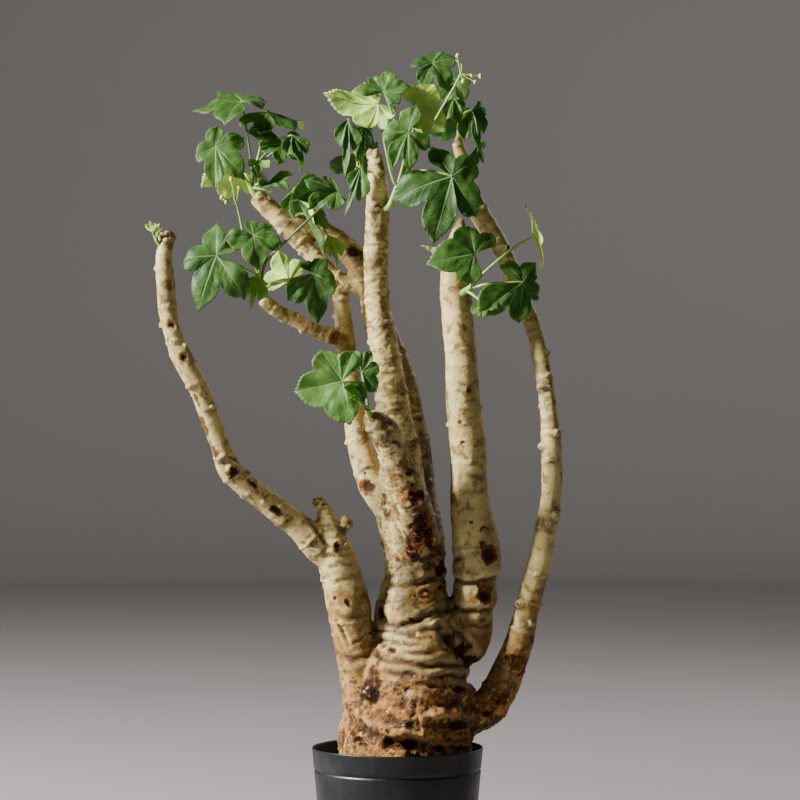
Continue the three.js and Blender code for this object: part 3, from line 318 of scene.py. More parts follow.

# The leafy shoots, with points given as the woody stems' are. Each has a stem and leaves: hub, way of the
# petiole, depth of the cuts, tone from -1 dark to 1 light that paints each leaf's shade and light as well as
# its own green, and lobe tips in order round the hub as the upper face shows them. Some name, by number, the
# leaves whose petioles are painted dark as shade, and some have sprays of buds: the way of the flower stalk,
# the buds and the fork that their stalks leave from.
SHOOTS = {
    "front_shoot": {
        "stem": [[-17, -38, 351, 2.4], [-20, -45, 358, 2.2], [-22, -50, 363, 1.6]],
        "leaves": [
            ([-39, -62, 380.6], [[-29, -54, 369]], 0.6, 0.45,
             [[-31, -53, 402], [-54, -55, 402.5], [-72.8, -58, 373], [-33, -68, 349.5], [-21, -60, 369]]),
            ([-25, -46, 387], [[-22, -48, 372]], 0.6, -0.55,
             [[-14.5, -46, 373], [-13, -44, 392], [-18, -40, 402], [-31, -40, 402]]),
            ([-22, -60, 361.5], [[-22, -54, 361.5]], 0.7, 0.6,
             [[-39, -73, 377], [-34, -75, 369], [-24, -73, 362]]),
        ],
    },
    "right_shoot": {
        "stem": [[44, -7, 441, 2.6], [48, -13, 444, 2.4], [52, -17, 447, 1.8]],
        "leaves": [
            ([54, -31, 470], [[53, -25, 458]], 0.55, 0.1,
             [[66, -24, 484.5], [50, -26, 489], [19.5, -36, 462.5], [48.5, -36, 447.5]]),
            ([87.5, -30, 450], [[62, -23, 448.5], [76, -29, 449.5]], 0.75, -0.45,
             [[55, -38, 425.5], [84.4, -35, 420.5], [98.5, -24, 441], [96.5, -18, 464], [72, -23, 464]]),
            ([94.5, -14, 482], [[62, -17, 458], [80, -16, 473]], 0.8, 0.3,
             [[89, -13, 505.5], [97, -37, 487], [102, -19, 457]]),
            ([59, -32, 436], [[53, -24, 441]], 0.7, -0.2,
             [[52.5, -37, 427], [60, -42, 422], [71, -40, 431]]),
        ],
    },
    "top_shoot": {
        "stem": [[-10, -5, 501, 2.6], [-5, -10, 504, 2.4], [0, -13, 517, 2], [6, -15, 527, 1.8]],
        "leaves": [
            ([38, -34, 524.2], [[21, -28, 528]], 0.85, -0.85,
             [[-4.7, -28, 506.5], [24.5, -41, 475], [55.3, -35, 495], [54.5, -26, 535.5],
              [23.5, -22, 544.5]]),
            ([7.3, -31, 555], [[6, -22, 541]], 0.85, 0.4,
             [[13.5, -26, 574], [-11, -27, 554], [-4, -33, 528], [8, -37, 526.5], [23, -29, 544]]),
            ([-13.5, -14, 574.8], [[-2, -14, 519], [-10, -17, 552]], 0.6, 0.6,
             [[-2, -22, 566], [-8.5, -24, 557], [-21.5, -24, 557.5], [-52, -17, 583.5], [-23, 5, 590]]),
            ([-9.5, -20, 583], [[5, -17, 540], [-3, -20, 566]], 0.65, -0.25,
             [[1.5, -27, 574.5], [9, -22, 587], [-5, -14, 598.5], [-18.5, -13, 593], [-31.5, -18, 584.5]]),
            ([24.5, -12, 603.5], [[14, -14, 552], [20, -12, 580]], 0.7, -0.75,
             [[16.5, -20, 587.5], [36, -18, 582.5], [40.5, -9, 607], [31, -3, 611.5], [8, -9, 601]]),
            ([11, -18, 574], [[9, -16, 539], [11, -17, 556]], 0.5, 0.7,
             [[5, -20, 587], [27, -13, 588.5], [34, -16, 555], [18, -22, 553], [5, -24, 562]]),
        ],
        "sprays": [
            ([[5, -14.8, 525], [21, -26, 554.5], [44.2, -30, 596], [40.8, -30, 606]],
             [[46, -31, 590.7], [51.8, -32, 594.5], [58, -31, 594], [54.2, -33, 590], [42, -31, 608.5]],
             [44, -30, 596]),
        ],
    },
    "crown_back_shoot": {
        "stem": [[-18, 5, 512, 2.4], [-25, 12, 515, 2.2], [-29, 15, 521, 1.6]],
        "leaves": [
            ([-35, 4, 564], [[-28, 14, 540], [-32, 12, 558]], 0.8, 0,
             [[-41.5, 0, 546], [-37, -3, 522], [-29.5, 1, 542]]),
            ([-24, 14, 559], [[-25, 16, 540]], 0.7, -0.55,
             [[-32.5, 9, 550], [-29, 8, 533], [-19, 12, 541], [-16.5, 22, 557]]),
            ([-25.5, -9, 531], [[-29, 4, 529]], 0.8, 0.1,
             [[-34, -11, 516], [-37.5, -13, 495], [-27, -12, 506]]),
            ([-30, 34, 541], [[-27, 22, 534]], 0.6, 0,
             [[-48, 42, 530], [-30, 58, 520], [-8, 46, 528], [-14, 24, 548]]),
        ],
    },
    "right_tip_shoot": {
        "stem": [[43, 25, 546, 1.7], [43, 25, 556, 1.6], [43.5, 24, 564, 1.4]],
        "leaves": [
            ([52, 24, 570], [[48, 23, 569]], 0.6, -0.6,
             [[46.5, 17, 549], [56, 18, 542], [61.5, 24, 555], [60.5, 34, 573]]),
            ([40.5, 20, 588], [[43, 22, 578]], 0.6, -0.5,
             [[31, 14, 577], [48.5, 15, 578], [51, 22, 594], [36, 26, 597]]),
            ([39, 14, 579], [[42, 18, 574]], 0.6, -0.4,
             [[33, 8, 563], [44, 9, 559], [47, 14, 571]]),
            ([56, 33, 546], [[50, 28, 562], [54.5, 32, 557]], 0.7, -0.1,
             [[54.5, 32, 530], [60.5, 33, 532.5], [62, 41, 545]]),
            ([36, 46, 566], [[41, 30, 569]], 0.6, 0,
             [[20, 50, 552], [34, 66, 548], [54, 58, 556], [50, 42, 572]]),
        ],
    },
    "upper_left_shoot": {
        "stem": [[-95, 35, 506, 2.8], [-100, 34, 512, 2.6], [-104, 33, 519, 1.8]],
        "leaves": [
            ([-127.5, 14, 545], [[-114, 24, 533]], 0.85, 0.05,
             [[-126, 20, 559.5], [-142, 13, 538], [-127.5, 7, 513], [-106.5, 8, 521], [-107, 18, 551]]),
            ([-109, 28, 576], [[-104, 33, 546]], 0.7, -0.45,
             [[-94, 14, 571], [-91, 40, 575], [-117, 58, 582], [-144, 31, 569.5], [-121, 2, 559.5]]),
            ([-91, 31, 569], [[-99, 33, 532], [-94, 33, 553]], 0.6, -0.35,
             [[-110, 18, 557.5], [-97, 7, 553], [-71, 15, 555.5], [-65, 42, 557], [-85, 61, 562]]),
            ([-80, 16, 547], [[-98, 28, 530], [-88, 20, 540]], 0.6, 0,
             [[-107, 13, 554], [-97, 8, 543], [-84, 4, 531], [-70, 9, 534], [-69, 22, 553]]),
            ([-74, 13, 553], [[-97, 28, 534], [-83, 21, 549]], 0.7, -0.1,
             [[-78, 3, 538], [-67.5, 3, 524.5], [-62.5, 11, 541]]),
            ([-90, 24, 520], [[-99, 31, 518]], 0.7, 0.65,
             [[-104, 14, 528], [-96, 8, 514], [-75, 10, 513.5], [-73, 20, 525]]),
            ([-97, 21, 535], [[-102, 30, 524]], 0.7, 0.8,
             [[-105, 15, 531], [-98, 12, 523.5], [-89, 14, 530]]),
            ([-112, 58, 528], [[-107, 44, 526]], 0.6, 0,
             [[-100, 72, 512], [-122, 80, 506], [-138, 64, 516], [-130, 44, 534]]),
        ],
        "shaded_petioles": [1, 3],
        "sprays": [
            ([[-102, 33, 516], [-94, 27, 515], [-89, 22, 514]],
             [[-89, 20, 514], [-90, 19, 509]],
             [-89, 22, 514]),
        ],
    },
    "inner_left_shoot": {
        "stem": [[-66.5, 34, 492.5, 2.2], [-72, 31, 496, 2], [-75, 28, 501, 1.5]],
        "leaves": [
            ([-70, 19, 508], [[-75, 23, 506]], 0.75, 0,
             [[-58, 12, 490], [-50.5, 14, 465], [-46.5, 18, 488], [-55, 26, 508]]),
            ([-49, 18, 483], [[-66, 23, 498], [-54, 20, 491]], 0.6, 0.85,
             [[-48, 15, 468], [-43, 16, 457.5], [-38, 19, 469]]),
            ([-72, 47, 516], [[-74, 38, 508]], 0.6, 0,
             [[-82, 52, 501], [-72, 66, 496], [-54, 62, 508], [-58, 44, 526]]),
        ],
    },
    "lower_left_shoot": {
        "stem": [[-91, 15.5, 435, 2.6], [-95.5, 13.5, 442, 2.6], [-97, 11, 456, 2]],
        "leaves": [
            ([-127, -10, 468.5], [[-108, -2, 460]], 0.85, -0.4,
             [[-108.5, -2, 482], [-126.5, 1, 491], [-150, -6, 464.5], [-140, -18, 428.5],
              [-106.5, -15, 437.5]]),
            ([-101, -4, 482.5], [[-98, 4, 470]], 0.7, -0.15,
             [[-121, -7, 480], [-98, -12, 457.5], [-80.5, -3, 476.5], [-88, 4, 491], [-104, 4, 493]]),
            ([-76, 18, 451.5], [[-90, 15, 448]], 0.5, 0.9,
             [[-95, 20, 450.5], [-84, 25, 473], [-68, 24, 466]]),
            ([-59, 3, 456], [[-86, 10, 450], [-71, 8, 453]], 0.65, -0.75,
             [[-77.5, -3, 437], [-56, 1, 419.5], [-42, 2, 446.5], [-54, 9, 467], [-66.5, 9, 464.5]]),
            ([-98.5, 4, 455], [[-98, 8, 456]], 0.7, 0.8,
             [[-108, -4, 438], [-103.5, -6, 428.5], [-96.5, -2, 436]]),
            ([-42, 12, 514], [[-93, 8, 462], [-82, 5, 475], [-60, 3, 496]], 0.6, -0.4,
             [[-36, 4, 508], [-50, 18, 524.5], [-66, 12, 521.5], [-63, 5, 500.5], [-44, 2, 500]]),
        ],
        "shaded_petioles": [5],
        "sprays": [
            ([[-97, 11, 455], [-106, 4, 476], [-111.5, 2, 500], [-114.5, 1, 509.5]],
             [[-123, 0, 509.5], [-111, 1, 516], [-116.5, 0, 522], [-120, 0, 506]],
             [-113, 1.5, 504]),
        ],
    },
    "left_bud": {
        "stem": [[-164.5, -47, 474.5, 1.6], [-168.5, -49, 479, 1.4], [-170.5, -50, 484, 1.1]],
        "leaves": [
            ([-171.5, -51, 485], [], 1, 1,
             [[-177, -53, 490], [-174, -55, 493], [-170, -55, 491]]),
            ([-169, -51, 482], [], 1, 1,
             [[-167, -54, 491], [-164.5, -53, 487], [-166, -49, 483]]),
        ],
    },
}

# The outline of half a lobe: reach as a share of the rib's length, from the rib (0) to the cut (1).
LOBE_OUTLINE = [
    (0, 1), (0.05, 0.955), (0.12, 0.905), (0.22, 0.865), (0.36, 0.83),
    (0.52, 0.785), (0.68, 0.71), (0.82, 0.61), (0.92, 0.51), (1, 0.42),
]
# How wide the free side of a blade's first and last lobe is, in radians.
OUTER_LOBE_ANGLE = 0.55


# Property groups: what a user would change.
def length_setting(name, description, value):
    """A length in metres."""
    return FloatProperty(name=name, description=description, default=value, unit="LENGTH")


def number_setting(name, description, value):
    """A plain number."""
    return FloatProperty(name=name, description=description, default=value)


def colour_setting(name, description, value):
    """A colour in linear light."""
    return FloatVectorProperty(name=name, description=description, default=value, subtype="COLOR", size=3)


class PotSettings(bpy.types.PropertyGroup):
    height: length_setting("Height", "Pot height", POT_HEIGHT)
    rim: length_setting("Rim radius", "Outer radius at the rim", RIM_RADIUS)
    base: length_setting("Base radius", "Outer radius at the foot", 0.0485)
    wall: length_setting("Wall", "Wall thickness", 0.0015)
    band: length_setting("Band", "Height of the band below the rim", 0.0155)
    groove: length_setting("Groove", "Depth of the groove below the band", 0.0008)
    colour: colour_setting("Plastic", "Colour of the plastic", (0.003, 0.003, 0.0036))


class BarkSettings(bpy.types.PropertyGroup):
    detail: length_setting("Detail", "Size of the bark mesh's faces", 0.0016)
    cork: length_setting("Cork depth", "Relief of the corky base", 0.0022)
    folds: length_setting("Fold depth", "Relief of the trunk's folds", 0.0016)
    chip: length_setting("Chip", "Mean size of a loose bark chip", 0.0024)
    chips: number_setting("Chips", "Loose chips per square metre of cork", 16000)
    pale: colour_setting("Pale bark", "Colour of smooth bark", (0.76, 0.6, 0.235))
    olive: colour_setting("Green bark", "Colour of young bark", (0.3, 0.26, 0.075))
    brown: colour_setting("Brown bark", "Colour of the mottling", (0.16, 0.09, 0.024))
    cork_tan: colour_setting("Tan cork", "Light colour of the cork", (0.42, 0.17, 0.034))
    cork_dark: colour_setting("Dark cork", "Dark colour of the cork", (0.09, 0.034, 0.01))


class LeafSettings(bpy.types.PropertyGroup):
    thickness: length_setting("Thickness", "Blade thickness", 0.0004)
    arch: number_setting("Arch", "Bow of a rib, as a share of its length", 0.07)
    fold: number_setting("Fold", "Rise beside a rib, as a share of its length", 0.16)
    swell: length_setting("Swell", "Height of the blade's uneven swells", 0.0015)
    wave: number_setting("Wave", "Waviness of the margin, as a share of the length", 0.018)
    teeth: number_setting("Teeth", "Depth of the teeth, as a share of the length", 0.05)
    bud: length_setting("Bud", "Radius of a bud", 0.0013)
    hair: length_setting("Hair", "Length of the longest stipule hairs", 0.0055)
    dark: colour_setting("Dark green", "Darkest upper face", (0.006, 0.024, 0.003))
    light: colour_setting("Light green", "Lightest upper face", (0.065, 0.15, 0.022))
    under: colour_setting("Underside", "Colour of the underside", (0.46, 0.62, 0.08))
    vein: colour_setting("Veins", "Colour of the ribs and veins", (0.26, 0.42, 0.16))
    stalk: colour_setting("Stalks", "Colour of petioles and green stems", (0.17, 0.31, 0.045))
    petal: colour_setting("Buds", "Colour of the open buds", (0.8, 0.52, 0.14))


class SoilSettings(bpy.types.PropertyGroup):
    crumb: length_setting("Crumb", "Mean size of a crumb", 0.0016)
    density: number_setting("Density", "Crumbs per square metre", 360000)
    seed: IntProperty(name="Seed", description="Seed of the scatter", default=5)
    colour: colour_setting("Soil", "Colour of the soil", (0.022, 0.014, 0.009))


class StageSettings(bpy.types.PropertyGroup):
    room: length_setting("Room radius", "Radius of the round pale room", 5)
    floor: colour_setting("Floor", "Colour of the floor", (0.27, 0.253, 0.243))
    key: FloatProperty(name="Key light", description="Power of the soft key light", default=280, unit="POWER")
    fill: number_setting("Fill", "Strength of the room's own light", 0.04)


class PlantSettings(bpy.types.PropertyGroup):
    pot: PointerProperty(type=PotSettings)
    bark: PointerProperty(type=BarkSettings)
    leaf: PointerProperty(type=LeafSettings)
    soil: PointerProperty(type=SoilSettings)
    stage: PointerProperty(type=StageSettings)


# Shared geometry
def in_space(point):
    """A point that lines up from the viewpoint, carried to its own depth, in millimetres."""
    across, depth, height = point[:3]
    reach = 1 + depth / VIEW_DISTANCE
    return np.array([VIEW_X + (across - VIEW_X) * reach, depth, VIEW_HEIGHT + (height - VIEW_HEIGHT) * reach])


def unit(vectors):
    """The vectors at length 1."""
    return vectors / np.maximum(np.linalg.norm(vectors, axis=-1, keepdims=True), 1e-9)


def smooth_line(stations, step):
    """Stations of [x, y, z, radius] filled in every step millimetres, smooth through each."""
    stations = np.array(stations, float)
    padded = np.vstack([2 * stations[0] - stations[1], stations, 2 * stations[-1] - stations[-2]])
    pieces = []
    for i in range(len(stations) - 1):
        before, here, there, after = padded[i:i + 4]
        count = max(2, round(np.linalg.norm((there - here)[:3]) / step))
        t = (np.arange(count) / count)[:, None]
        pieces.append(0.5 * (2 * here + (there - before) * t
                             + (2 * before - 5 * here + 4 * there - after) * t ** 2
                             + (3 * here - before - 3 * there + after) * t ** 3))
    return np.vstack([*pieces, stations[-1:]])


def frames_along(centres):
    """Directions along, across and to the side of a line at each of its points."""
    ways = unit(np.gradient(centres, axis=0))
    across = np.array([1.0, 0, 0])
    rows = []
    for way in ways:
        across = unit(across - way * across.dot(way))
        rows.append(across)
    across = np.array(rows)
    return ways, across, np.cross(ways, across)


def round_points(profile, sides):
    """The points of a profile of (radius, height) carried once round the pot's axis."""
    return [(r * math.cos(t), r * math.sin(t), z) for r, z in profile
            for t in np.linspace(0, 2 * math.pi, sides, endpoint=False)]


def round_faces(rings, sides, start=0, closed=False, inward=False):
    """Faces between rings of points, in a closed loop of rings or not."""
    faces = []
    for i in range(rings if closed else rings - 1):
        a, b = start + i * sides, start + (i + 1) % rings * sides
        for k in range(sides):
            n = (k + 1) % sides
            faces.append((a + k, b + k, b + n, a + n) if inward else (a + k, a + n, b + n, b + k))
    return faces


def linked(piece):
    """The object, put into the scene."""
    bpy.context.scene.collection.objects.link(piece)
    return piece


def mesh_object(name, points, faces):
    """A mesh object from points in metres."""
    mesh = bpy.data.meshes.new(name)
    mesh.from_pydata([tuple(p) for p in points], [], [tuple(f) for f in faces])
    mesh.polygons.foreach_set("use_smooth", [True] * len(mesh.polygons))
    mesh.update()
    return linked(bpy.data.objects.new(name, mesh))


def twin_of(piece):
    """A copy of the piece with a mesh of its own, for a node tree to use up."""
    twin = linked(piece.copy())
    twin.data = piece.data.copy()
    return twin


def applied(piece, name):
    """The piece with its modifiers made into a plain mesh, under a name of its own."""
    bpy.context.view_layer.update()
    evaluated = piece.evaluated_get(bpy.context.evaluated_depsgraph_get())
    mesh = bpy.data.meshes.new_from_object(evaluated)
    mesh.name = name
    bpy.data.objects.remove(piece)
    return linked(bpy.data.objects.new(name, mesh))


def vectors_of(items, key):
    """One vector of each item, as an array."""
    flat = np.empty(len(items) * 3, np.float32)
    items.foreach_get(key, flat)
    return flat.reshape(-1, 3).astype(float)


def store(mesh, name, kind, key, values):
    """Stores a value for each vertex as an attribute."""
    layer = mesh.attributes.new(name, kind, "POINT")
    layer.data.foreach_set(key, np.asarray(values, np.float32).ravel())


def set_vertices(mesh, points):
    """Moves the mesh's vertices."""
    mesh.vertices.foreach_set("co", points.astype(np.float32).ravel())
    mesh.update()


def kept_inside(points):
    """Points held inside the solids' own box."""
    low, high = (np.array(corner) for corner in CAD_BOX)
    return np.clip(points, low, high)


def set_colours(mesh, name, rgb):
    """Stores three values for each vertex as a colour attribute."""
    store(mesh, name, "FLOAT_COLOR", "color", np.column_stack([rgb, np.ones(len(rgb))]))


def finish_piece(piece, slot, *nodes):
    """Every finished piece rides on the plant's one body, and the nodes it replaces are hidden; the slot is
    not used.
    """
    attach(piece, BODY)
    if nodes:
        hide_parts(*nodes)
    return piece


def rise(low, high, value):
    """A smooth step from 0 at low to 1 at high."""
    t = np.clip((value - low) / (high - low), 0, 1)
    return t * t * (3 - 2 * t)


def cloud(points, size, octaves=3):
    """Smooth noise from about -1 to 1 at each point, with features of the size given in millimetres."""
    return np.array([noise.fractal(Vector(p), 0.8, 2.1, octaves) for p in points / size])


# Node trees
class Nodes:
    """A node tree with short ways to add nodes and to feed their sockets."""

    def __init__(self, tree):
        self.tree = tree

    def add(self, kind, settings=None, **inputs):
        node = self.tree.nodes.new(kind)
        for key, value in (settings or {}).items():
            setattr(node, key, value)
        for key, value in inputs.items():
            self.feed(node.inputs[key.replace("_", " ")], value)
        return node

    def feed(self, socket, value):
        if isinstance(value, bpy.types.NodeSocket):
            self.tree.links.new(value, socket)
        else:
            socket.default_value = value

    def math(self, operation, a, b=0.0):
        node = self.add("ShaderNodeMath", {"operation": operation})
        self.feed(node.inputs[0], a)
        self.feed(node.inputs[1], b)
        return node.outputs[0]

    def plus(self, a, b):
        return self.math("ADD", a, b)

    def times(self, a, b):
        return self.math("MULTIPLY", a, b)


class Shader(Nodes):
    """A material's node tree with short ways to add what the finishes need."""

    def __init__(self, name):
        self.material = bpy.data.materials.new(name)
        self.material.use_nodes = True
        super().__init__(self.material.node_tree)
        self.surface = self.tree.nodes["Principled BSDF"]
        self.coords = self.add("ShaderNodeTexCoord").outputs["Object"]

    def stretched(self, vector, scale):
        """The coordinates scaled, so that a texture on them is drawn out."""
        node = self.add("ShaderNodeMapping", Vector=vector)
        node.inputs["Scale"].default_value = scale
        return node.outputs[0]

    def noise(self, scale, detail=4.0, roughness=0.55, distortion=0.0, coords=None):
        node = self.add("ShaderNodeTexNoise", Vector=coords or self.coords, Scale=scale, Detail=detail,
                        Roughness=roughness, Distortion=distortion)
        return node.outputs["Fac"]

    def cells(self, scale):
        node = self.add("ShaderNodeTexVoronoi", {"feature": "F1"}, Vector=self.coords, Scale=scale)
        return node.outputs["Distance"]

    def span(self, value, low, high, to_low=0.0, to_high=1.0):
        """The value carried smoothly from one span to another and held at its ends."""
        node = self.add("ShaderNodeMapRange", {"interpolation_type": "SMOOTHSTEP"}, Value=value)
        node.inputs["From Min"].default_value = low
        node.inputs["From Max"].default_value = high
        node.inputs["To Min"].default_value = to_low
        node.inputs["To Max"].default_value = to_high
        return node.outputs["Result"]

    def mix(self, share, a, b):
        """Colour a with its share of colour b laid over it."""
        node = self.add("ShaderNodeMix", {"data_type": "RGBA"})
        self.feed(node.inputs[0], share)
        for socket, value in ((node.inputs[6], a), (node.inputs[7], b)):
            self.feed(socket, value if isinstance(value, bpy.types.NodeSocket) else (*value, 1))
        return node.outputs[2]

    def attribute(self, name):
        """The three parts of a colour attribute."""
        node = self.add("ShaderNodeAttribute", {"attribute_name": name})
        parts = self.add("ShaderNodeSeparateColor", Color=node.outputs["Color"])
        return list(parts.outputs)[:3]

    def bump(self, height, strength, distance):
        node = self.add("ShaderNodeBump", Height=height, Strength=strength, Distance=distance)
        self.feed(self.surface.inputs["Normal"], node.outputs["Normal"])

    def set(self, **inputs):
        for key, value in inputs.items():
            self.feed(self.surface.inputs[key.replace("_", " ")], value)


# Colours of the bark's mottling, crust and marks, in linear light.
TAN_BAND = (0.4, 0.28, 0.085)
BROWN_LINE = (0.24, 0.15, 0.045)
CREAM_PATCH = (0.88, 0.72, 0.34)
EARTH_STAIN = (0.3, 0.14, 0.028)
EARTH_SPECK = (0.09, 0.04, 0.012)
DARK_SPECK = (0.11, 0.055, 0.02)
RIDGE_HIGHLIGHT_AND_WEAR = (0.8, 0.66, 0.34)
SHADE_AND_AGE_OLIVE = (0.085, 0.054, 0.009)
CRUST_STREAK = (0.44, 0.2, 0.055)
CRUST_GOLD = (0.6, 0.29, 0.06)
CRUST_SHADOW = (0.035, 0.013, 0.004)
CRUST_FLECK = (0.85, 0.55, 0.2)
CRUST_RIDGE_HIGHLIGHT = (0.7, 0.36, 0.08)
CRUST_SHADE = (0.05, 0.02, 0.007)
SCAR_RIM = (0.3, 0.15, 0.036)
RUST_STAIN = (0.1, 0.034, 0.012)
TORN_DARK, TORN_RED = (0.024, 0.009, 0.005), (0.36, 0.13, 0.045)
SCAR_BLACK = (0.014, 0.007, 0.005)
HOLLOW_SHADE_BROWN = (0.035, 0.018, 0.007)
PALE_SPOT = (0.8, 0.6, 0.3)


def bark_material(bark):
    """Waxy pale bark with brown mottling, a corky rust-brown base, and dark, red, torn and pale marks, with
    painted shade and painted highlights.
    """
    s = Shader("waxy_bark")
    cork, dark, red = s.attribute("bark_marks")
    green, brown, rim = s.attribute("bark_tint")
    hollow, ridge, earth = s.attribute("bark_shade")
    peel, pale, lee = s.attribute("bark_tears_and_shade")
    grain = s.add("ShaderNodeAttribute", {"attribute_name": "bark_grain"}).outputs["Vector"]
    across = s.stretched(grain, (0.35, 0.35, 1))
    upward = s.stretched(s.coords, (1, 1, 0.28))
    broad = s.noise(38, 5, 0.6)
    patches = s.noise(95, 7, 0.66, 0.3)
    lines = s.noise(330, 5, 0.65, coords=across)
    bands = s.noise(75, 4, 0.6, coords=across)
    specks = s.noise(560, 3, 0.6)
    blots = s.noise(150, 7, 0.7, 0.4)
    rough_grain = s.noise(170, 9, 0.72, 0.5)
    streaks = s.noise(260, 6, 0.7, coords=upward)

    # The smooth bark, from pale to green, then its bands, mottling and earth, a painted highlight with worn
    # tan on its ridges, and painted olive shade.
    smooth = s.mix(s.times(green, s.span(broad, 0.35, 0.6, 0.4, 1.0)), bark.pale, bark.olive)
    smooth = s.mix(s.span(bands, 0.47, 0.66, 0, 0.4), smooth, TAN_BAND)
    smooth = s.mix(s.span(lines, 0.57, 0.7, 0, 0.4), smooth, BROWN_LINE)
    smooth = s.mix(s.span(broad, 0.5, 0.68, 0, 0.4), smooth, CREAM_PATCH)
    mottle = s.plus(patches, s.times(brown, 0.2))
    smooth = s.mix(s.span(mottle, 0.58, 0.68, 0, 0.85), smooth, bark.brown)
    soiled = s.plus(s.noise(60, 8, 0.7, 0.5), s.times(earth, 0.32))
    smooth = s.mix(s.span(soiled, 0.56, 0.8, 0, 0.9), smooth, EARTH_STAIN)
    smooth = s.mix(s.times(earth, s.span(blots, 0.5, 0.6)), smooth, EARTH_SPECK)
    smooth = s.mix(s.span(specks, 0.62, 0.69, 0, 0.7), smooth, DARK_SPECK)
    smooth = s.mix(s.times(ridge, 0.3), smooth, RIDGE_HIGHLIGHT_AND_WEAR)
    # Olive-brown laid over as painted shade on shaded sides and zones, and as the darker olive of older bark.
    smooth = s.mix(s.times(lee, s.span(patches, 0.3, 0.62, 0.75, 1.0)), smooth, SHADE_AND_AGE_OLIVE)

    # The corky crust of the base, with a painted highlight on its ridges and painted shade, and its ragged
    # upper edge.
    crust = s.mix(s.span(rough_grain, 0.36, 0.62), bark.cork_dark, bark.cork_tan)
    crust = s.mix(s.span(streaks, 0.48, 0.62, 0, 0.6), crust, CRUST_STREAK)
    crust = s.mix(s.span(s.noise(34, 6, 0.66, 0.4), 0.46, 0.58, 0, 0.65), crust, CRUST_GOLD)
    crust = s.mix(s.span(s.noise(52, 7, 0.7, 0.4), 0.48, 0.55, 0, 0.92), crust, CRUST_SHADOW)
    crust = s.mix(s.span(s.noise(230, 5, 0.66), 0.57, 0.65, 0, 0.85), crust, CRUST_FLECK)
    crust = s.mix(s.times(ridge, 0.2), crust, CRUST_RIDGE_HIGHLIGHT)
    # Painted shade on the crust's shaded side.
    crust = s.mix(s.times(lee, 0.5), crust, CRUST_SHADE)
    edge = s.span(s.plus(cork, s.span(patches, 0.3, 0.7, -0.35, 0.35)), 0.36, 0.62)
    whole = s.mix(edge, smooth, crust)

    # The marks over both, with ragged edges, then painted shade in the hollows.
    ragged = s.span(blots, 0.34, 0.66, -0.3, 0.3)
    whole = s.mix(s.span(s.plus(rim, ragged), 0.3, 0.9, 0, 0.9), whole, SCAR_RIM)
    whole = s.mix(s.span(s.plus(red, ragged), 0.28, 0.6, 0, 0.93), whole, RUST_STAIN)
    torn = s.mix(s.span(s.noise(170, 6, 0.7, 0.8), 0.5, 0.62), TORN_DARK, TORN_RED)
    whole = s.mix(s.span(s.plus(peel, ragged), 0.3, 0.6, 0, 0.95), whole, torn)
    whole = s.mix(s.span(s.plus(dark, s.times(ragged, 0.6)), 0.18, 0.6, 0, 0.96), whole, SCAR_BLACK)
    whole = s.mix(s.times(hollow, 0.8), whole, HOLLOW_SHADE_BROWN)
    whole = s.mix(s.times(pale, 0.6), whole, PALE_SPOT)

    rough = s.math("MAXIMUM", s.span(edge, 0, 1, 0.45, 0.6), s.span(earth, 0, 1, 0.45, 0.68))
    height = s.times(s.span(rough_grain, 0.3, 0.7), s.span(edge, 0, 1, 0.12, 1.0))
    height = s.plus(height, s.times(lines, 0.4))
    height = s.plus(height, s.times(specks, s.span(edge, 0, 1, 0.2, 0.6)))
    s.bump(height, 0.7, 0.0013)
    dull = s.math("MAXIMUM", s.math("MAXIMUM", dark, red), peel)
    s.set(Base_Color=whole, Roughness=rough, Specular_IOR_Level=s.span(dull, 0, 0.6, 0.25, 0.03))
    return s.material


# Colours of the leaves, stalks and buds, in linear light.
LEAF_BLOTCH = (0.12, 0.19, 0.035)
UNDER_PATCH = (0.2, 0.34, 0.09)
UNDER_VEIN = (0.45, 0.58, 0.26)
YOUNG_LEAF = (0.34, 0.52, 0.12)
STALK_PATCH = (0.3, 0.44, 0.1)
SHADED_STALK_GREEN = (0.035, 0.065, 0.02)
BUD_FOOT = (0.4, 0.55, 0.1)


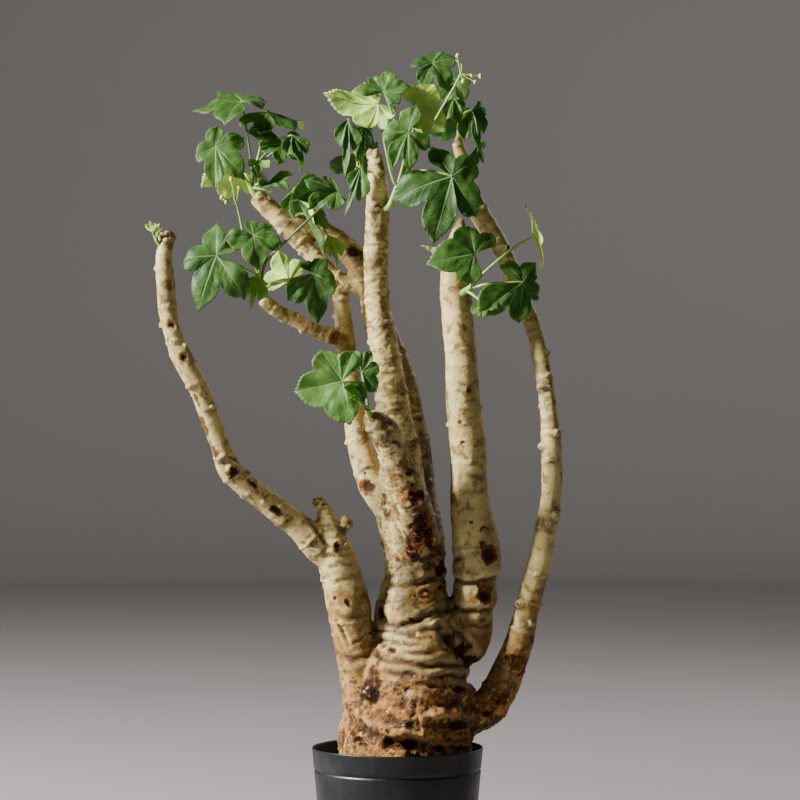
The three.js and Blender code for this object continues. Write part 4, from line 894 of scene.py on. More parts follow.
def leaf_material(leaf):
    """A glossy blade with pale ribs and side veins, its upper face as dark or light as its tone and painted
    shade, and a lighter matt underside.
    """
    s = Shader("leaf_blade")
    tone, under, young = s.attribute("leaf_tone_and_shade")
    uv = s.add("ShaderNodeUVMap", {"uv_map": "lobe"}).outputs[0]
    split = s.add("ShaderNodeSeparateXYZ", Vector=uv)
    along, off = split.outputs[0], s.math("ABSOLUTE", split.outputs[1])
    rib = s.span(s.math("DIVIDE", off, s.math("SUBTRACT", 1.2, along)), 0.004, 0.016, 1, 0)
    slant = s.math("SUBTRACT", along, s.times(off, 0.85))
    saw = s.math("ABSOLUTE", s.math("SUBTRACT", s.math("FRACT", s.times(slant, 8.5)), 0.5))
    side = s.times(s.span(saw, 0.035, 0.085, 1, 0), s.span(off, 0.02, 0.3, 0.8, 0.25))
    net = s.cells(900)
    upper = s.mix(s.plus(tone, s.span(s.noise(70, 4), 0.3, 0.7, -0.2, 0.2)), leaf.dark, leaf.light)
    upper = s.mix(s.span(s.noise(26, 4, 0.6, 0.5), 0.5, 0.68, 0, 0.3), upper, LEAF_BLOTCH)
    upper = s.mix(s.span(net, 0.0, 0.5, 0, 0.2), upper, leaf.light)
    upper = s.mix(s.times(side, 0.1), upper, leaf.vein)
    upper = s.mix(s.times(rib, s.span(along, 0, 0.9, 0.55, 0.15)), upper, leaf.vein)
    lower = s.mix(s.span(s.noise(60, 3), 0.35, 0.7), leaf.under, UNDER_PATCH)
    lower = s.mix(s.math("MAXIMUM", s.times(side, 0.5), rib), lower, UNDER_VEIN)
    whole = s.mix(under, upper, lower)
    whole = s.mix(young, whole, YOUNG_LEAF)
    veins = s.math("MAXIMUM", s.times(side, 0.6), rib)
    height = s.plus(s.times(veins, s.span(under, 0, 1, -1.0, 1.0)), s.times(net, 0.25))
    height = s.plus(height, s.times(s.noise(210, 3, 0.5), 1.6))
    s.bump(height, 0.4, 0.0007)
    s.set(Base_Color=whole, Roughness=s.span(under, 0, 1, 0.5, 0.6), Specular_IOR_Level=0.2)
    s.set(Subsurface_Weight=0.12, Subsurface_Radius=(0.0012, 0.003, 0.0008), Subsurface_Scale=1.0)
    return s.material


def stalk_material(leaf):
    """Green stalks, paler in patches, some of them darkened as painted shade."""
    s = Shader("green_stalk")
    tone = s.add("ShaderNodeAttribute", {"attribute_name": "stalk_shade"}).outputs["Fac"]
    fresh = s.mix(s.span(s.noise(150, 4), 0.35, 0.7), leaf.stalk, STALK_PATCH)
    whole = s.mix(tone, fresh, SHADED_STALK_GREEN)
    s.bump(s.noise(900, 3), 0.3, 0.0003)
    s.set(Base_Color=whole, Roughness=0.42)
    return s.material


def bud_material(leaf):
    """Small peach buds with green parts."""
    s = Shader("flower_bud")
    whole = s.mix(s.span(s.noise(300, 2), 0.46, 0.54), leaf.petal, BUD_FOOT)
    s.bump(s.noise(1500, 2), 0.3, 0.0002)
    s.set(Base_Color=whole, Roughness=0.5)
    return s.material


# Colours of the dust and specks on the pot and in the soil, in linear light.
POT_DUST = (0.035, 0.034, 0.034)
POT_GRAIN = (0.1, 0.095, 0.085)
SOIL_LIGHT = (0.06, 0.036, 0.02)
SOIL_BIT = (0.2, 0.13, 0.07)


def plastic_material(pot):
    """Satin black moulded plastic with faint scuffs and dust."""
    s = Shader("satin_plastic")
    scuff = s.noise(210, 6, 0.7, coords=s.stretched(s.coords, (1, 1, 0.15)))
    dust = s.noise(34, 5, 0.6)
    whole = s.mix(s.span(dust, 0.45, 0.75, 0, 0.35), pot.colour, POT_DUST)
    whole = s.mix(s.span(s.noise(1800, 2), 0.7, 0.76, 0, 0.6), whole, POT_GRAIN)
    s.bump(s.noise(1400, 3, 0.6), 0.12, 0.0002)
    s.set(Base_Color=whole, Roughness=s.span(scuff, 0.3, 0.7, 0.34, 0.48), Specular_IOR_Level=0.36)
    return s.material


def soil_material(soil):
    """Dark crumbly soil with a few paler bits."""
    s = Shader("crumbly_soil")
    whole = s.mix(s.span(s.noise(420, 5), 0.4, 0.65), soil.colour, SOIL_LIGHT)
    whole = s.mix(s.span(s.noise(260, 2), 0.66, 0.72, 0, 0.9), whole, SOIL_BIT)
    s.bump(s.noise(700, 6, 0.7), 0.9, 0.0012)
    s.set(Base_Color=whole, Roughness=0.92)
    return s.material


# Geometry Nodes
class NodeMaker(Nodes):
    """A geometry node tree with named inputs that ends in Realize Instances and Set Material."""

    def __init__(self, name, inputs):
        super().__init__(bpy.data.node_groups.new(name, "GeometryNodeTree"))
        face = self.tree.interface
        face.new_socket("Geometry", in_out="INPUT", socket_type="NodeSocketGeometry")
        for label, kind in inputs.items():
            face.new_socket(label, in_out="INPUT", socket_type=kind)
        face.new_socket("Geometry", in_out="OUTPUT", socket_type="NodeSocketGeometry")
        self.given = self.tree.nodes.new("NodeGroupInput").outputs

    def chance(self, low, high):
        """A random number for each point, or a random vector if low and high are vectors."""
        kind, first = ("FLOAT_VECTOR", 0) if isinstance(low, tuple) else ("FLOAT", 2)
        node = self.add("FunctionNodeRandomValue", {"data_type": kind}, Seed=self.given["Seed"])
        node.inputs[first].default_value = low
        node.inputs[first + 1].default_value = high
        return node.outputs[first // 2]

    def copies(self, points, shape, turn, scale):
        """The shape set on every point, turned and scaled."""
        node = self.add("GeometryNodeInstanceOnPoints", Points=points, Instance=shape, Rotation=turn,
                        Scale=scale)
        return node.outputs[0]

    def end(self, geometry, material):
        real = self.add("GeometryNodeRealizeInstances", Geometry=geometry)
        finish = self.add("GeometryNodeSetMaterial", Geometry=real.outputs[0], Material=material)
        out = self.tree.nodes.new("NodeGroupOutput")
        self.tree.links.new(finish.outputs[0], out.inputs[0])

    def use(self, piece, name, **values):
        """Runs the tree on the piece and returns the plain mesh object that it makes."""
        modifier = piece.modifiers.new(self.tree.name, "NODES")
        modifier.node_group = self.tree
        for item in self.tree.interface.items_tree:
            if item.item_type == "SOCKET" and item.in_out == "INPUT" and item.name in values:
                modifier[item.identifier] = values[item.name]
        return applied(piece, name)


def tube_tree(material, sides):
    """Round tubes along the curves, as thick as each point's radius, with an amount of painted shade."""
    g = NodeMaker("stalk_tubes", {"Tone": "NodeSocketFloat"})
    ring = g.add("GeometryNodeCurvePrimitiveCircle", {"mode": "RADIUS"}, Resolution=sides, Radius=1.0)
    radius = g.add("GeometryNodeInputRadius")
    tube = g.add("GeometryNodeCurveToMesh", Curve=g.given["Geometry"], Profile_Curve=ring.outputs["Curve"],
                 Scale=radius.outputs["Radius"], Fill_Caps=True)
    tone = g.add("GeometryNodeStoreNamedAttribute", {"data_type": "FLOAT", "domain": "POINT"},
                 Geometry=tube.outputs[0], Name="stalk_shade", Value=g.given["Tone"])
    smooth = g.add("GeometryNodeSetShadeSmooth", Geometry=tone.outputs[0])
    g.end(smooth.outputs[0], material)
    return g


def bud_tree(material):
    """A small oval bud on each point, turned and sized at random."""
    g = NodeMaker("buds", {"Size": "NodeSocketFloat", "Seed": "NodeSocketInt"})
    ball = g.add("GeometryNodeMeshUVSphere", Segments=12, Rings=8, Radius=1.0)
    turn = g.chance((-0.5, -0.5, 0), (0.5, 0.5, 6))
    width = g.times(g.chance(0.75, 1.15), g.given["Size"])
    oval = g.add("ShaderNodeCombineXYZ", X=width, Y=width, Z=g.times(width, 1.45))
    copies = g.copies(g.given["Geometry"], ball.outputs["Mesh"], turn, oval.outputs[0])
    smooth = g.add("GeometryNodeSetShadeSmooth", Geometry=copies)
    g.end(smooth.outputs[0], material)
    return g


def scatter_tree(name, material, flatness, chosen):
    """Small rough lumps scattered where an attribute marks the surface, flattened against it."""
    g = NodeMaker(name, {"Size": "NodeSocketFloat", "Density": "NodeSocketFloat", "Seed": "NodeSocketInt"})
    mask = g.add("GeometryNodeInputNamedAttribute", {"data_type": "FLOAT"}, Name=chosen)
    keep = g.math("GREATER_THAN", mask.outputs[0], 0.5)
    spread = g.add("GeometryNodeDistributePointsOnFaces", Mesh=g.given["Geometry"], Selection=keep,
                   Density=g.given["Density"], Seed=g.given["Seed"])
    lump = g.add("GeometryNodeMeshIcoSphere", Radius=1.0, Subdivisions=1)
    size = g.chance((0.35, 0.35, 0.35 * flatness), (1.0, 0.8, 0.9 * flatness))
    scale = g.add("ShaderNodeVectorMath", {"operation": "SCALE"}, Scale=g.given["Size"])
    g.feed(scale.inputs[0], size)
    copies = g.copies(spread.outputs["Points"], lump.outputs[0], spread.outputs["Rotation"], scale.outputs[0])
    g.end(copies, material)
    return g


def hair_tree(material):
    """Thin tapered hairs that stand out of each point in random directions."""
    g = NodeMaker("stipule_hairs", {"Length": "NodeSocketFloat", "Seed": "NodeSocketInt"})
    cone = g.add("GeometryNodeMeshCone", Vertices=5, Radius_Top=0.012, Radius_Bottom=0.05, Depth=1.0)
    turn = g.chance((-1.5, -1.5, 0), (1.5, 1.5, 6))
    size = g.times(g.chance(0.5, 1.0), g.given["Length"])
    g.end(g.copies(g.given["Geometry"], cone.outputs["Mesh"], turn, size), material)
    return g


# The woody plant
STEM_SIDES = 44
LINE_STEP = 2.0
POINTS_AT_ONCE = 4000
# No bark chips grow below this height, in millimetres.
SOIL_LINE = 116


def stem_lines():
    """Each stem's centre line with its radius, in millimetres, and its frames."""
    lines = {}
    for name, rows in STEMS.items():
        line = smooth_line([[*in_space(row), row[3]] for row in rows], LINE_STEP)
        lines[name] = (line, *frames_along(line[:, :3]))
    return lines


def stem_tube(line, across, side, ways):
    """Points and faces of a closed tube with rounded ends, its section slightly lobed."""
    turns = np.linspace(0, 2 * math.pi, STEM_SIDES, endpoint=False)
    rings = []
    caps = [(0.35, 0.94), (0.62, 0.78), (0.82, 0.5)]
    foot = [(line[0, :3] - ways[0] * out * line[0, 3], line[0, 3] * size, across[0], side[0])
            for out, size in reversed(caps)]
    body = [(row[:3], row[3], a, b) for row, a, b in zip(line, across, side)]
    tip = [(line[-1, :3] + ways[-1] * out * 0.6 * line[-1, 3], line[-1, 3] * size, across[-1], side[-1])
           for out, size in caps]
    for at, radius, a, b in foot + body + tip:
        wave = 1 + 0.022 * np.sin(3 * turns + at[2] / 17) + 0.0132 * np.sin(5 * turns - at[2] / 9)
        rings.append(at + radius * wave[:, None] * (np.cos(turns)[:, None] * a + np.sin(turns)[:, None] * b))
    faces = round_faces(len(rings), STEM_SIDES)
    last = (len(rings) - 1) * STEM_SIDES
    faces.append(tuple(range(STEM_SIDES - 1, -1, -1)))
    faces.append(tuple(range(last, last + STEM_SIDES)))
    return np.vstack(rings), faces


def place_on_stems(points, lines):
    """For each point: its stem's number, its place along that stem and its turn round it, its distance from
    the line, the stem's radius there, and how near the next stem's surface is."""
    rows, frames, owner, along = [], [], [], []
    for number, (line, ways, across, side) in enumerate(lines.values()):
        rows.append(line)
        frames.append(np.stack([ways, across, side], axis=1))
        owner += [number] * len(line)
        steps = np.linalg.norm(np.diff(line[:, :3], axis=0), axis=1)
        along.append(np.concatenate([[0], np.cumsum(steps)]))
    rows, frames, owner, along = np.vstack(rows), np.vstack(frames), np.array(owner), np.concatenate(along)
    starts = np.searchsorted(owner, np.arange(len(lines)))
    best, other = np.empty(len(points), int), np.empty(len(points))
    for part in np.array_split(np.arange(len(points)), len(points) // POINTS_AT_ONCE + 1):
        block = points[part]
        gap = np.linalg.norm(block[:, None, :] - rows[None, :, :3], axis=2) - rows[None, :, 3]
        near = gap.argmin(axis=1)
        least = np.minimum.reduceat(gap, starts, axis=1)
        least[np.arange(len(block)), owner[near]] = np.inf
        best[part], other[part] = near, least.min(axis=1)
    off = np.einsum("ijk,ik->ij", frames[best], points - rows[best, :3])
    turn = np.arctan2(off[:, 2], off[:, 1])
    return owner[best], along[best] + off[:, 0], turn, np.hypot(off[:, 1], off[:, 2]), rows[best, 3], other


def node_marks(stem, place, turn, radius, lengths, spans, cork):
    """Leaf scars up each stem in a spiral: how far they raise the bark, and how brown and dark they are."""
    raised, brown, dark = (np.zeros(len(place)) for _ in range(3))
    chance = random.Random(23)
    for number, (length, span) in enumerate(zip(lengths, spans)):
        mine = np.flatnonzero((stem == number) & (cork < 0.5))
        at, spiral = span * 0.7, chance.uniform(0, 6.28)
        while span < 90 and at < length - 3 and len(mine):
            wide, tall = chance.uniform(2.1, 3.1), chance.uniform(1.2, 1.9)
            strength, stain = chance.uniform(0.5, 1), chance.uniform(0.1, 1)
            turned = (turn[mine] - spiral + math.pi) % (2 * math.pi) - math.pi
            up = place[mine] - at
            across = turned * radius[mine]
            reach = np.hypot(across / wide, up / tall)
            pad = 1 - rise(0.6, 1.3, reach)
            ring = np.exp(-((up + 0.8 * np.cos(turned)) / 0.75) ** 2) * rise(-0.9, 0.6, np.cos(turned))
            raised[mine] += strength * (0.55 * pad + 0.34 * ring - 0.35 * (1 - rise(0.1, 0.5, reach)))
            brown[mine] = np.maximum(brown[mine], stain * np.maximum(pad, 0.45 * ring))
            dark[mine] = np.maximum(dark[mine], 0.6 * stain * (1 - rise(0.15, 0.6, reach)))
            at += span * chance.uniform(0.55, 1.45)
            spiral += 2.4 + chance.uniform(-0.3, 0.3)
    return raised, brown, dark


def seen_from_front(points):
    """Where the viewpoint sees each point, across and up."""
    reach = 1 + points[:, 1] / VIEW_DISTANCE
    return VIEW_X + (points[:, 0] - VIEW_X) / reach, VIEW_HEIGHT + (points[:, 2] - VIEW_HEIGHT) / reach


class FrontMarks:
    """Finds the bark under the marks that the front shows."""

    def __init__(self, points, normals, fine, grit):
        self.points = points
        self.x, self.z = seen_from_front(points)
        self.facing = normals[:, 1] < 0.15
        self.uneven = 0.28 * fine + 0.14 * grit

    def near(self, across, height, size):
        """Vertices round a place on the nearest bark that the front shows there."""
        off = np.hypot(self.x - across, self.z - height)
        close = self.facing & (off < max(2.5, off[self.facing].min() + 1))
        depth = self.points[close, 1].min()
        return np.flatnonzero((off < size) & self.facing & (np.abs(self.points[:, 1] - depth) < 7 + size))

    def oval(self, across, height, wide, tall, tilt=0):
        """Vertices near an oval mark and how far out of its middle each lies, 1 being its edge."""
        index = self.near(across, height, 2.4 * max(wide, tall))
        x, z = self.x[index] - across, self.z[index] - height
        c, s = math.cos(math.radians(tilt)), math.sin(math.radians(tilt))
        reach = np.hypot((x * c + z * s) / wide, (z * c - x * s) / tall)
        return index, reach * (1 + self.uneven[index])

    def line(self, width, route):
        """Vertices near a line, how far off it each lies, and how strong the line is there."""
        route = np.array(route, float)
        steps = np.linspace(0, 1, 16 * len(route))
        knots = np.linspace(0, 1, len(route))
        spots = np.column_stack([np.interp(steps, knots, route[:, i]) for i in range(2)])
        middle = len(route) // 2
        size = np.ptp(route, axis=0).max() + 5 * width
        index = self.near(*route[middle], size)
        off = np.hypot(self.x[index, None] - spots[None, :, 0],
                       self.z[index, None] + 1.6 * self.uneven[index, None] - spots[None, :, 1])
        at = off.argmin(axis=1)
        strong = np.sin(math.pi * np.clip(steps[at], 0.05, 0.95)) ** 0.45
        return index, off[np.arange(len(index)), at] / width, strong


def raise_to(values, index, level):
    """Raises the values of some vertices to a level, where it is the higher."""
    values[index] = np.maximum(values[index], level)


def cork_cover(names, stem, place, height, broad, fine):
    """How much of each vertex is cork: the base up to an uneven edge, and rough bark on the front branch."""
    cork = 1 - rise(156, 186, height + 13 * broad + 4 * fine)
    on_outer, on_left = (stem == names.index(name) for name in ("right_outer_stem", "left_stem"))
    cork = np.where(on_outer, 1 - rise(20, 92, place + 16 * broad + 5 * fine), cork)
    cork = np.where(on_left, 1 - rise(154, 182, height + 14 * broad + 4 * fine), cork)
    scaly = (stem == names.index("trunk")) & (height > 238) & (height < 330)
    scaly |= stem == names.index("front_branch")
    return np.maximum(cork, 0.34 * scaly)


def add_front_marks(front, move, tint, grit):
    """Presses and raises the marks that the front shows, and tints them."""

    def pit(mark, depth, lip, blackness):
        index, reach = front.oval(*mark)
        move[index] += lip * np.exp(-((reach - 1.1) / 0.3) ** 2) - depth * (1 - rise(0.3, 1, reach))
        raise_to(tint["dark"], index, blackness * (1 - rise(0.45, 0.95, reach)))
        raise_to(tint["red"], index, 0.85 * blackness * (1 - rise(0.8, 1.6, reach)))
        raise_to(tint["rim"], index, 0.95 * np.exp(-((reach - 1.08) / 0.24) ** 2))

    for *mark, blackness in SCARS:
        small = min(mark[2:4])
        pit(mark, 0.42 * small ** 0.8 * (0.4 + 0.6 * blackness), 0.24 * small ** 0.6, blackness)
    # The holes' black insides are painted shade.
    for mark in HOLES:
        pit(mark, 2.4, 0.9, 1)
    for across, up, size, blackness in KNOBS:
        index, reach = front.oval(across, up, size, size)
        move[index] += (0.95 if size < 4 else 0.5) * size * (1 - rise(0.2, 1.2, reach))
        move[index] -= 0.3 * size * (1 - rise(0.05, 0.4, reach))
        raise_to(tint["dark"], index, blackness * (1 - rise(0.3, 1.15, reach)))
        raise_to(tint["rim"], index, 0.5 * (1 - rise(0.6, 1.2, reach)))
    for across, up, size in SPOTS:
        index, reach = front.oval(across, up, size, size)
        raise_to(tint["pale"], index, 1 - rise(0.5, 1.1, reach))
        move[index] += 0.3 * (1 - rise(0.4, 1.1, reach))
    for *mark, redness, strength in STAINS:
        index, reach = front.oval(*mark)
        blot = strength * (1 - rise(0.25, 1.25, reach))
        raise_to(tint["dark"], index, 0.85 * (1 - redness) * blot)
        raise_to(tint["red"], index, (0.35 + 0.65 * redness) * blot)
    # Zones of painted olive-brown shade, partly older bark.
    for *mark, strength in SHADE_AND_AGE_ZONES:
        index, reach = front.oval(*mark)
        raise_to(tint["lee"], index, strength * (1 - rise(0.5, 1.2, reach)))
    for mark in PEELS:
        index, reach = front.oval(*mark)
        raise_to(tint["peel"], index, 1 - rise(0.55, 1.15, reach))
    torn = np.flatnonzero(tint["peel"] > 0)
    flakes = np.array([noise.voronoi(Vector((x, y, 0.6 * z)) / 3.4)[0][0] for x, y, z in front.points[torn]])
    move[torn] += tint["peel"][torn] * (1.3 * (flakes - 0.35) + 0.5 * grit[torn])
    index, reach = front.oval(*RING_SCAR, RING_SCAR[2])
    circles = 0.5 + 0.5 * np.cos(reach * 3.8 * math.pi)
    inside = 1 - rise(0.9, 1.2, reach)
    move[index] += 0.7 * inside * circles - 0.4 * inside
    raise_to(tint["rim"], index, inside)
    raise_to(tint["red"], index, 0.5 * inside * (1 - circles))
    for depth, width, route in CREASES:
        index, off, strong = front.line(width, route)
        level = strong * np.exp(-off ** 2)
        move[index] += depth * (0.32 * strong * np.exp(-((off - 2.5) / 1.4) ** 2) - level)
        # A crease's bottom is painted darker as shade; a ledge gets tan and pale.
        if depth > 0:
            raise_to(tint["dark"], index, 0.15 * level ** 1.6)
        else:
            raise_to(tint["rim"], index, 0.7 * level)
            raise_to(tint["pale"], index, 0.3 * level * rise(-0.3, 0.4, grit[index]))


def bark_relief(points, mesh, lines, bark):
    """How far each vertex moves outward, in millimetres, its colour marks by name, and its grain."""
    names = list(lines)
    stem, place, turn, away_from_line, radius, other = place_on_stems(points, lines)
    lengths = np.array([np.linalg.norm(np.diff(line[:, :3], axis=0), axis=1).sum()
                        for line, *_ in lines.values()])
    finish = np.array([STEM_FINISH[name] for name in names])
    green_foot, green_tip, brown_foot, brown_tip, _, age = finish[stem].T
    share = np.clip(place / lengths[stem], 0, 1)
    green = green_foot + (green_tip - green_foot) * share
    brown = brown_foot + (brown_tip - brown_foot) * share
    height = points[:, 2]
    broad, fine = cloud(points, 24, 2), cloud(points, 7, 4)
    grit = cloud(points + 40, 3.2, 3)
    normals = vectors_of(mesh.vertex_normals, "vector")
    front = FrontMarks(points, normals, fine, grit)
    on_trunk = stem == names.index("trunk")
    on_outer, on_left = (stem == names.index(name) for name in ("right_outer_stem", "left_stem"))
    cork = cork_cover(names, stem, place, height, broad, fine)
    earth = 1 - rise(165, 275, height + 28 * broad)
    tint = {name: np.zeros(len(points)) for name in ("dark", "red", "rim", "peel", "pale")}
    # Painted shade: olive-brown on each stem's side away from the key light, weaker on the outer stem,
    # together with the darker olive of older bark.
    to_right = normals[:, 0] - 0.25 * normals[:, 2] + 0.35 * broad
    tint["lee"] = np.maximum(rise(-0.05, 0.75, to_right) * np.where(on_outer, 0.26, 0.58),
                             np.clip(age * (0.75 + 0.9 * broad + 0.6 * fine), 0, 0.8))

    # Broad swells everywhere, and lumps and cracks in the cork.
    cells = np.array([noise.voronoi(Vector((x, y, 1.4 * z)) / 9)[0][:2] for x, y, z in points])
    lumps = 1 - np.clip(cells[:, 0] / 0.62, 0, 1) ** 2
    cracks = 1 - rise(0.0, 0.2, cells[:, 1] - cells[:, 0])
    move = 0.5 * broad + 0.14 * fine
    move += bark.cork / MM * cork * (0.7 * fine + 0.22 * grit + 0.75 * broad + 0.1 * lumps - 0.12 * cracks)

    # Rolls of loose skin round the trunk, mostly behind, where no crease of the front's own lies.
    wander = 4.5 * broad + 1.6 * fine + 2.2 * np.sin(turn * 1.5 + 1)
    rolls = np.abs(np.sin(math.pi * (height + wander) / (8.6 + 1.2 * np.sin(height / 31)))) ** 0.8
    folded = on_trunk * rise(158, 176, height) * (1 - rise(225, 262, height))
    folded = folded * (1 - 0.72 * front.facing) + 0.2 * on_left
    move += bark.folds / MM * folded * (1.7 * (rolls - 0.75)) * rise(-0.6, 0.35, broad + fine)

    # Fine wrinkle rings round every stem, deepest on the central one.
    wave = (place + 1.8 * fine + 2.6 * broad + 0.8 * np.sin(turn * 2)) / (4.4 + 0.9 * np.sin(place / 23))
    rings = np.sin(2 * math.pi * wave)
    central = on_trunk * rise(318, 350, height)
    wrinkled = 0.05 + 0.22 * central + 0.26 * on_trunk * np.exp(-((height - 372) / 22) ** 2)
    move += rings * wrinkled * (1 - cork) * (0.5 + 0.5 * rise(-0.4, 0.5, broad))
    # Tan-brown in the grooves of the rings: ring colour, and painted shade in the grooves.
    ringed = (0.12 + 0.5 * central) * ~on_outer * (1 - cork)
    raise_to(tint["rim"], slice(None), ringed * rise(0.3, 0.95, -rings) * rise(-0.5, 0.3, broad + fine))
    move -= 0.6 * np.exp(-np.maximum(other, 0) / 2.0) * ~on_trunk

    # Leaf scars up the stems, and the hollow ends of cut stems.
    raised, node_brown, node_dark = node_marks(stem, place, turn, radius, lengths, finish[:, 4], cork)
    move += 2.5 * raised
    raise_to(tint["rim"], slice(None), 0.65 * node_brown)
    raise_to(tint["dark"], slice(None), 0.55 * node_dark)
    for name in CUT_TIPS:
        number = names.index(name)
        past = place - lengths[number]
        core = (stem == number) * rise(-1.0, 1.0, past) * (1 - rise(0.35, 0.75, away_from_line / radius))
        move -= 1.5 * core
        move += (1.9 * grit + 1.3 * fine + 0.5) * (stem == number) * rise(-10, -2, past)
        raise_to(tint["dark"], slice(None), 0.8 * core)
        raise_to(tint["rim"], slice(None), 0.8 * (stem == number) * rise(-6, 0, past))
    add_front_marks(front, move, tint, grit)

    soft = relaxed(mesh, move[:, None], rounds=9)[:, 0]
    # Painted shade: darker where the surface sinks below its smoothed neighbours.
    hollow = np.clip((soft - move) / 0.5, 0, 1)
    # Painted highlight with worn tan where the surface stands above its smoothed neighbours.
    ridge = np.clip((move - soft) / 0.4, 0, 1)
    grain = np.column_stack([np.cos(turn) * radius, np.sin(turn) * radius, place + 70 * stem])
    marks = {
        "bark_marks": [cork, tint["dark"], tint["red"]],
        "bark_tint": [green, brown, tint["rim"]],
        "bark_shade": [hollow, ridge, earth],
        "bark_tears_and_shade": [tint["peel"], tint["pale"], tint["lee"]],
    }
    return move, {name: np.clip(np.column_stack(rgb), 0, 1) for name, rgb in marks.items()}, grain * MM


def relaxed(mesh, values, rounds):
    """Rows of values for each vertex drawn towards the middle of their neighbours' values."""
    edges = np.empty(len(mesh.edges) * 2, int)
    mesh.edges.foreach_get("vertices", edges)
    a, b = edges.reshape(-1, 2).T
    ends, others = np.concatenate([a, b]), np.concatenate([b, a])
    count = np.bincount(ends, minlength=len(values))[:, None]
    for _ in range(rounds):
        total = np.column_stack([np.bincount(ends, column[others], len(values)) for column in values.T])
        values = 0.5 * values + 0.5 * total / count
    return values


def woody_plant(bark, material):
    """The caudex and all bare stems as one skin."""
    lines = stem_lines()
    points, faces = [], []
    for line, ways, across, side in lines.values():
        tube_points, tube_faces = stem_tube(line, across, side, ways)
        start = sum(len(p) for p in points)
        points.append(tube_points * MM)
        faces += [tuple(i + start for i in face) for face in tube_faces]
    rough = mesh_object("woody_rough", np.vstack(points), faces)
    remesh = rough.modifiers.new("skin", "REMESH")
    remesh.mode = "VOXEL"
    remesh.voxel_size = bark.detail
    skin = applied(rough, "woody_plant_bark")
    mesh = skin.data
    base = relaxed(mesh, vectors_of(mesh.vertices, "co") / MM, rounds=3)
    set_vertices(mesh, base * MM)
    move, marks, grain = bark_relief(base, mesh, lines, bark)
    outward = vectors_of(mesh.vertex_normals, "vector")
    set_vertices(mesh, kept_inside((base + outward * move[:, None]) * MM))
    mesh.polygons.foreach_set("use_smooth", [True] * len(mesh.polygons))
    for name, rgb in marks.items():
        set_colours(mesh, name, rgb)
    store(mesh, "bark_grain", "FLOAT_VECTOR", "vector", grain)
    store(mesh, "corky", "FLOAT", "value", np.where(base[:, 2] > SOIL_LINE, marks["bark_marks"][:, 0], 0))
    mesh.materials.append(material)
    return skin


# Leaves
HALF_LOBE_COLUMNS = 22
BLADE_ROWS = 13
TEETH = 7


def blade_columns(ribs, depth, teeth):
    """The columns that a blade is drawn along from its hub, in order round it: direction, rib length, reach
    and tooth, share from rib (0) to cut (1), side of the rib, face normal, angle from the rib, and lobe."""
    ways, lengths = unit(ribs), np.linalg.norm(ribs, axis=1)
    faces = unit(np.cross(ways[:-1], ways[1:]))
    shares, reaches = zip(*LOBE_OUTLINE)
    offs = np.linspace(0, 1, HALF_LOBE_COLUMNS + 1)
    columns = []

    def reach_at(off, lobe):
        bite = abs((off * TEETH + 0.13 * lobe) % 1 - 0.5) * 2
        notch = 0.6 + 0.8 * math.sin(7.3 * off + 2.1 * lobe) ** 2
        edge = 1 - (1 - float(np.interp(off, shares, reaches))) * depth
        return edge, edge * teeth * notch * (bite - 0.5) * (1 - off ** 4)

    def outer(lobe, face, side):
        for off in (offs[:0:-1] if side < 0 else offs[1:]):
            turn = side * off * OUTER_LOBE_ANGLE
            way = ways[lobe] * math.cos(turn) + np.cross(face, ways[lobe]) * math.sin(turn)
            columns.append((way, lengths[lobe], reach_at(off, lobe), off, side, face, abs(turn), lobe))

    outer(0, faces[0], -1)
    for i, face in enumerate(faces):
        before = faces[max(i - 1, 0)]
        columns.append((ways[i], lengths[i], (1.0, 0.0), 0.0, 1, unit(face + before), 0.0, i))
        half = 0.5 * math.acos(float(np.clip(ways[i].dot(ways[i + 1]), -1, 1)))
        for lobe, other, side, steps in ((i, i + 1, 1, offs[1:]), (i + 1, i, -1, offs[-2:0:-1])):
            for off in steps:
                way = unit(ways[lobe] + (ways[other] - ways[lobe]) * off / 2)
                length = lengths[lobe] + (lengths[other] - lengths[lobe]) * off / 2
                columns.append((way, length, reach_at(off, lobe), off, side, face, off * half, lobe))
    columns.append((ways[-1], lengths[-1], (1.0, 0.0), 0.0, 1, faces[-1], 0.0, len(ribs) - 1))
    outer(len(ribs) - 1, faces[-1], 1)
    return columns


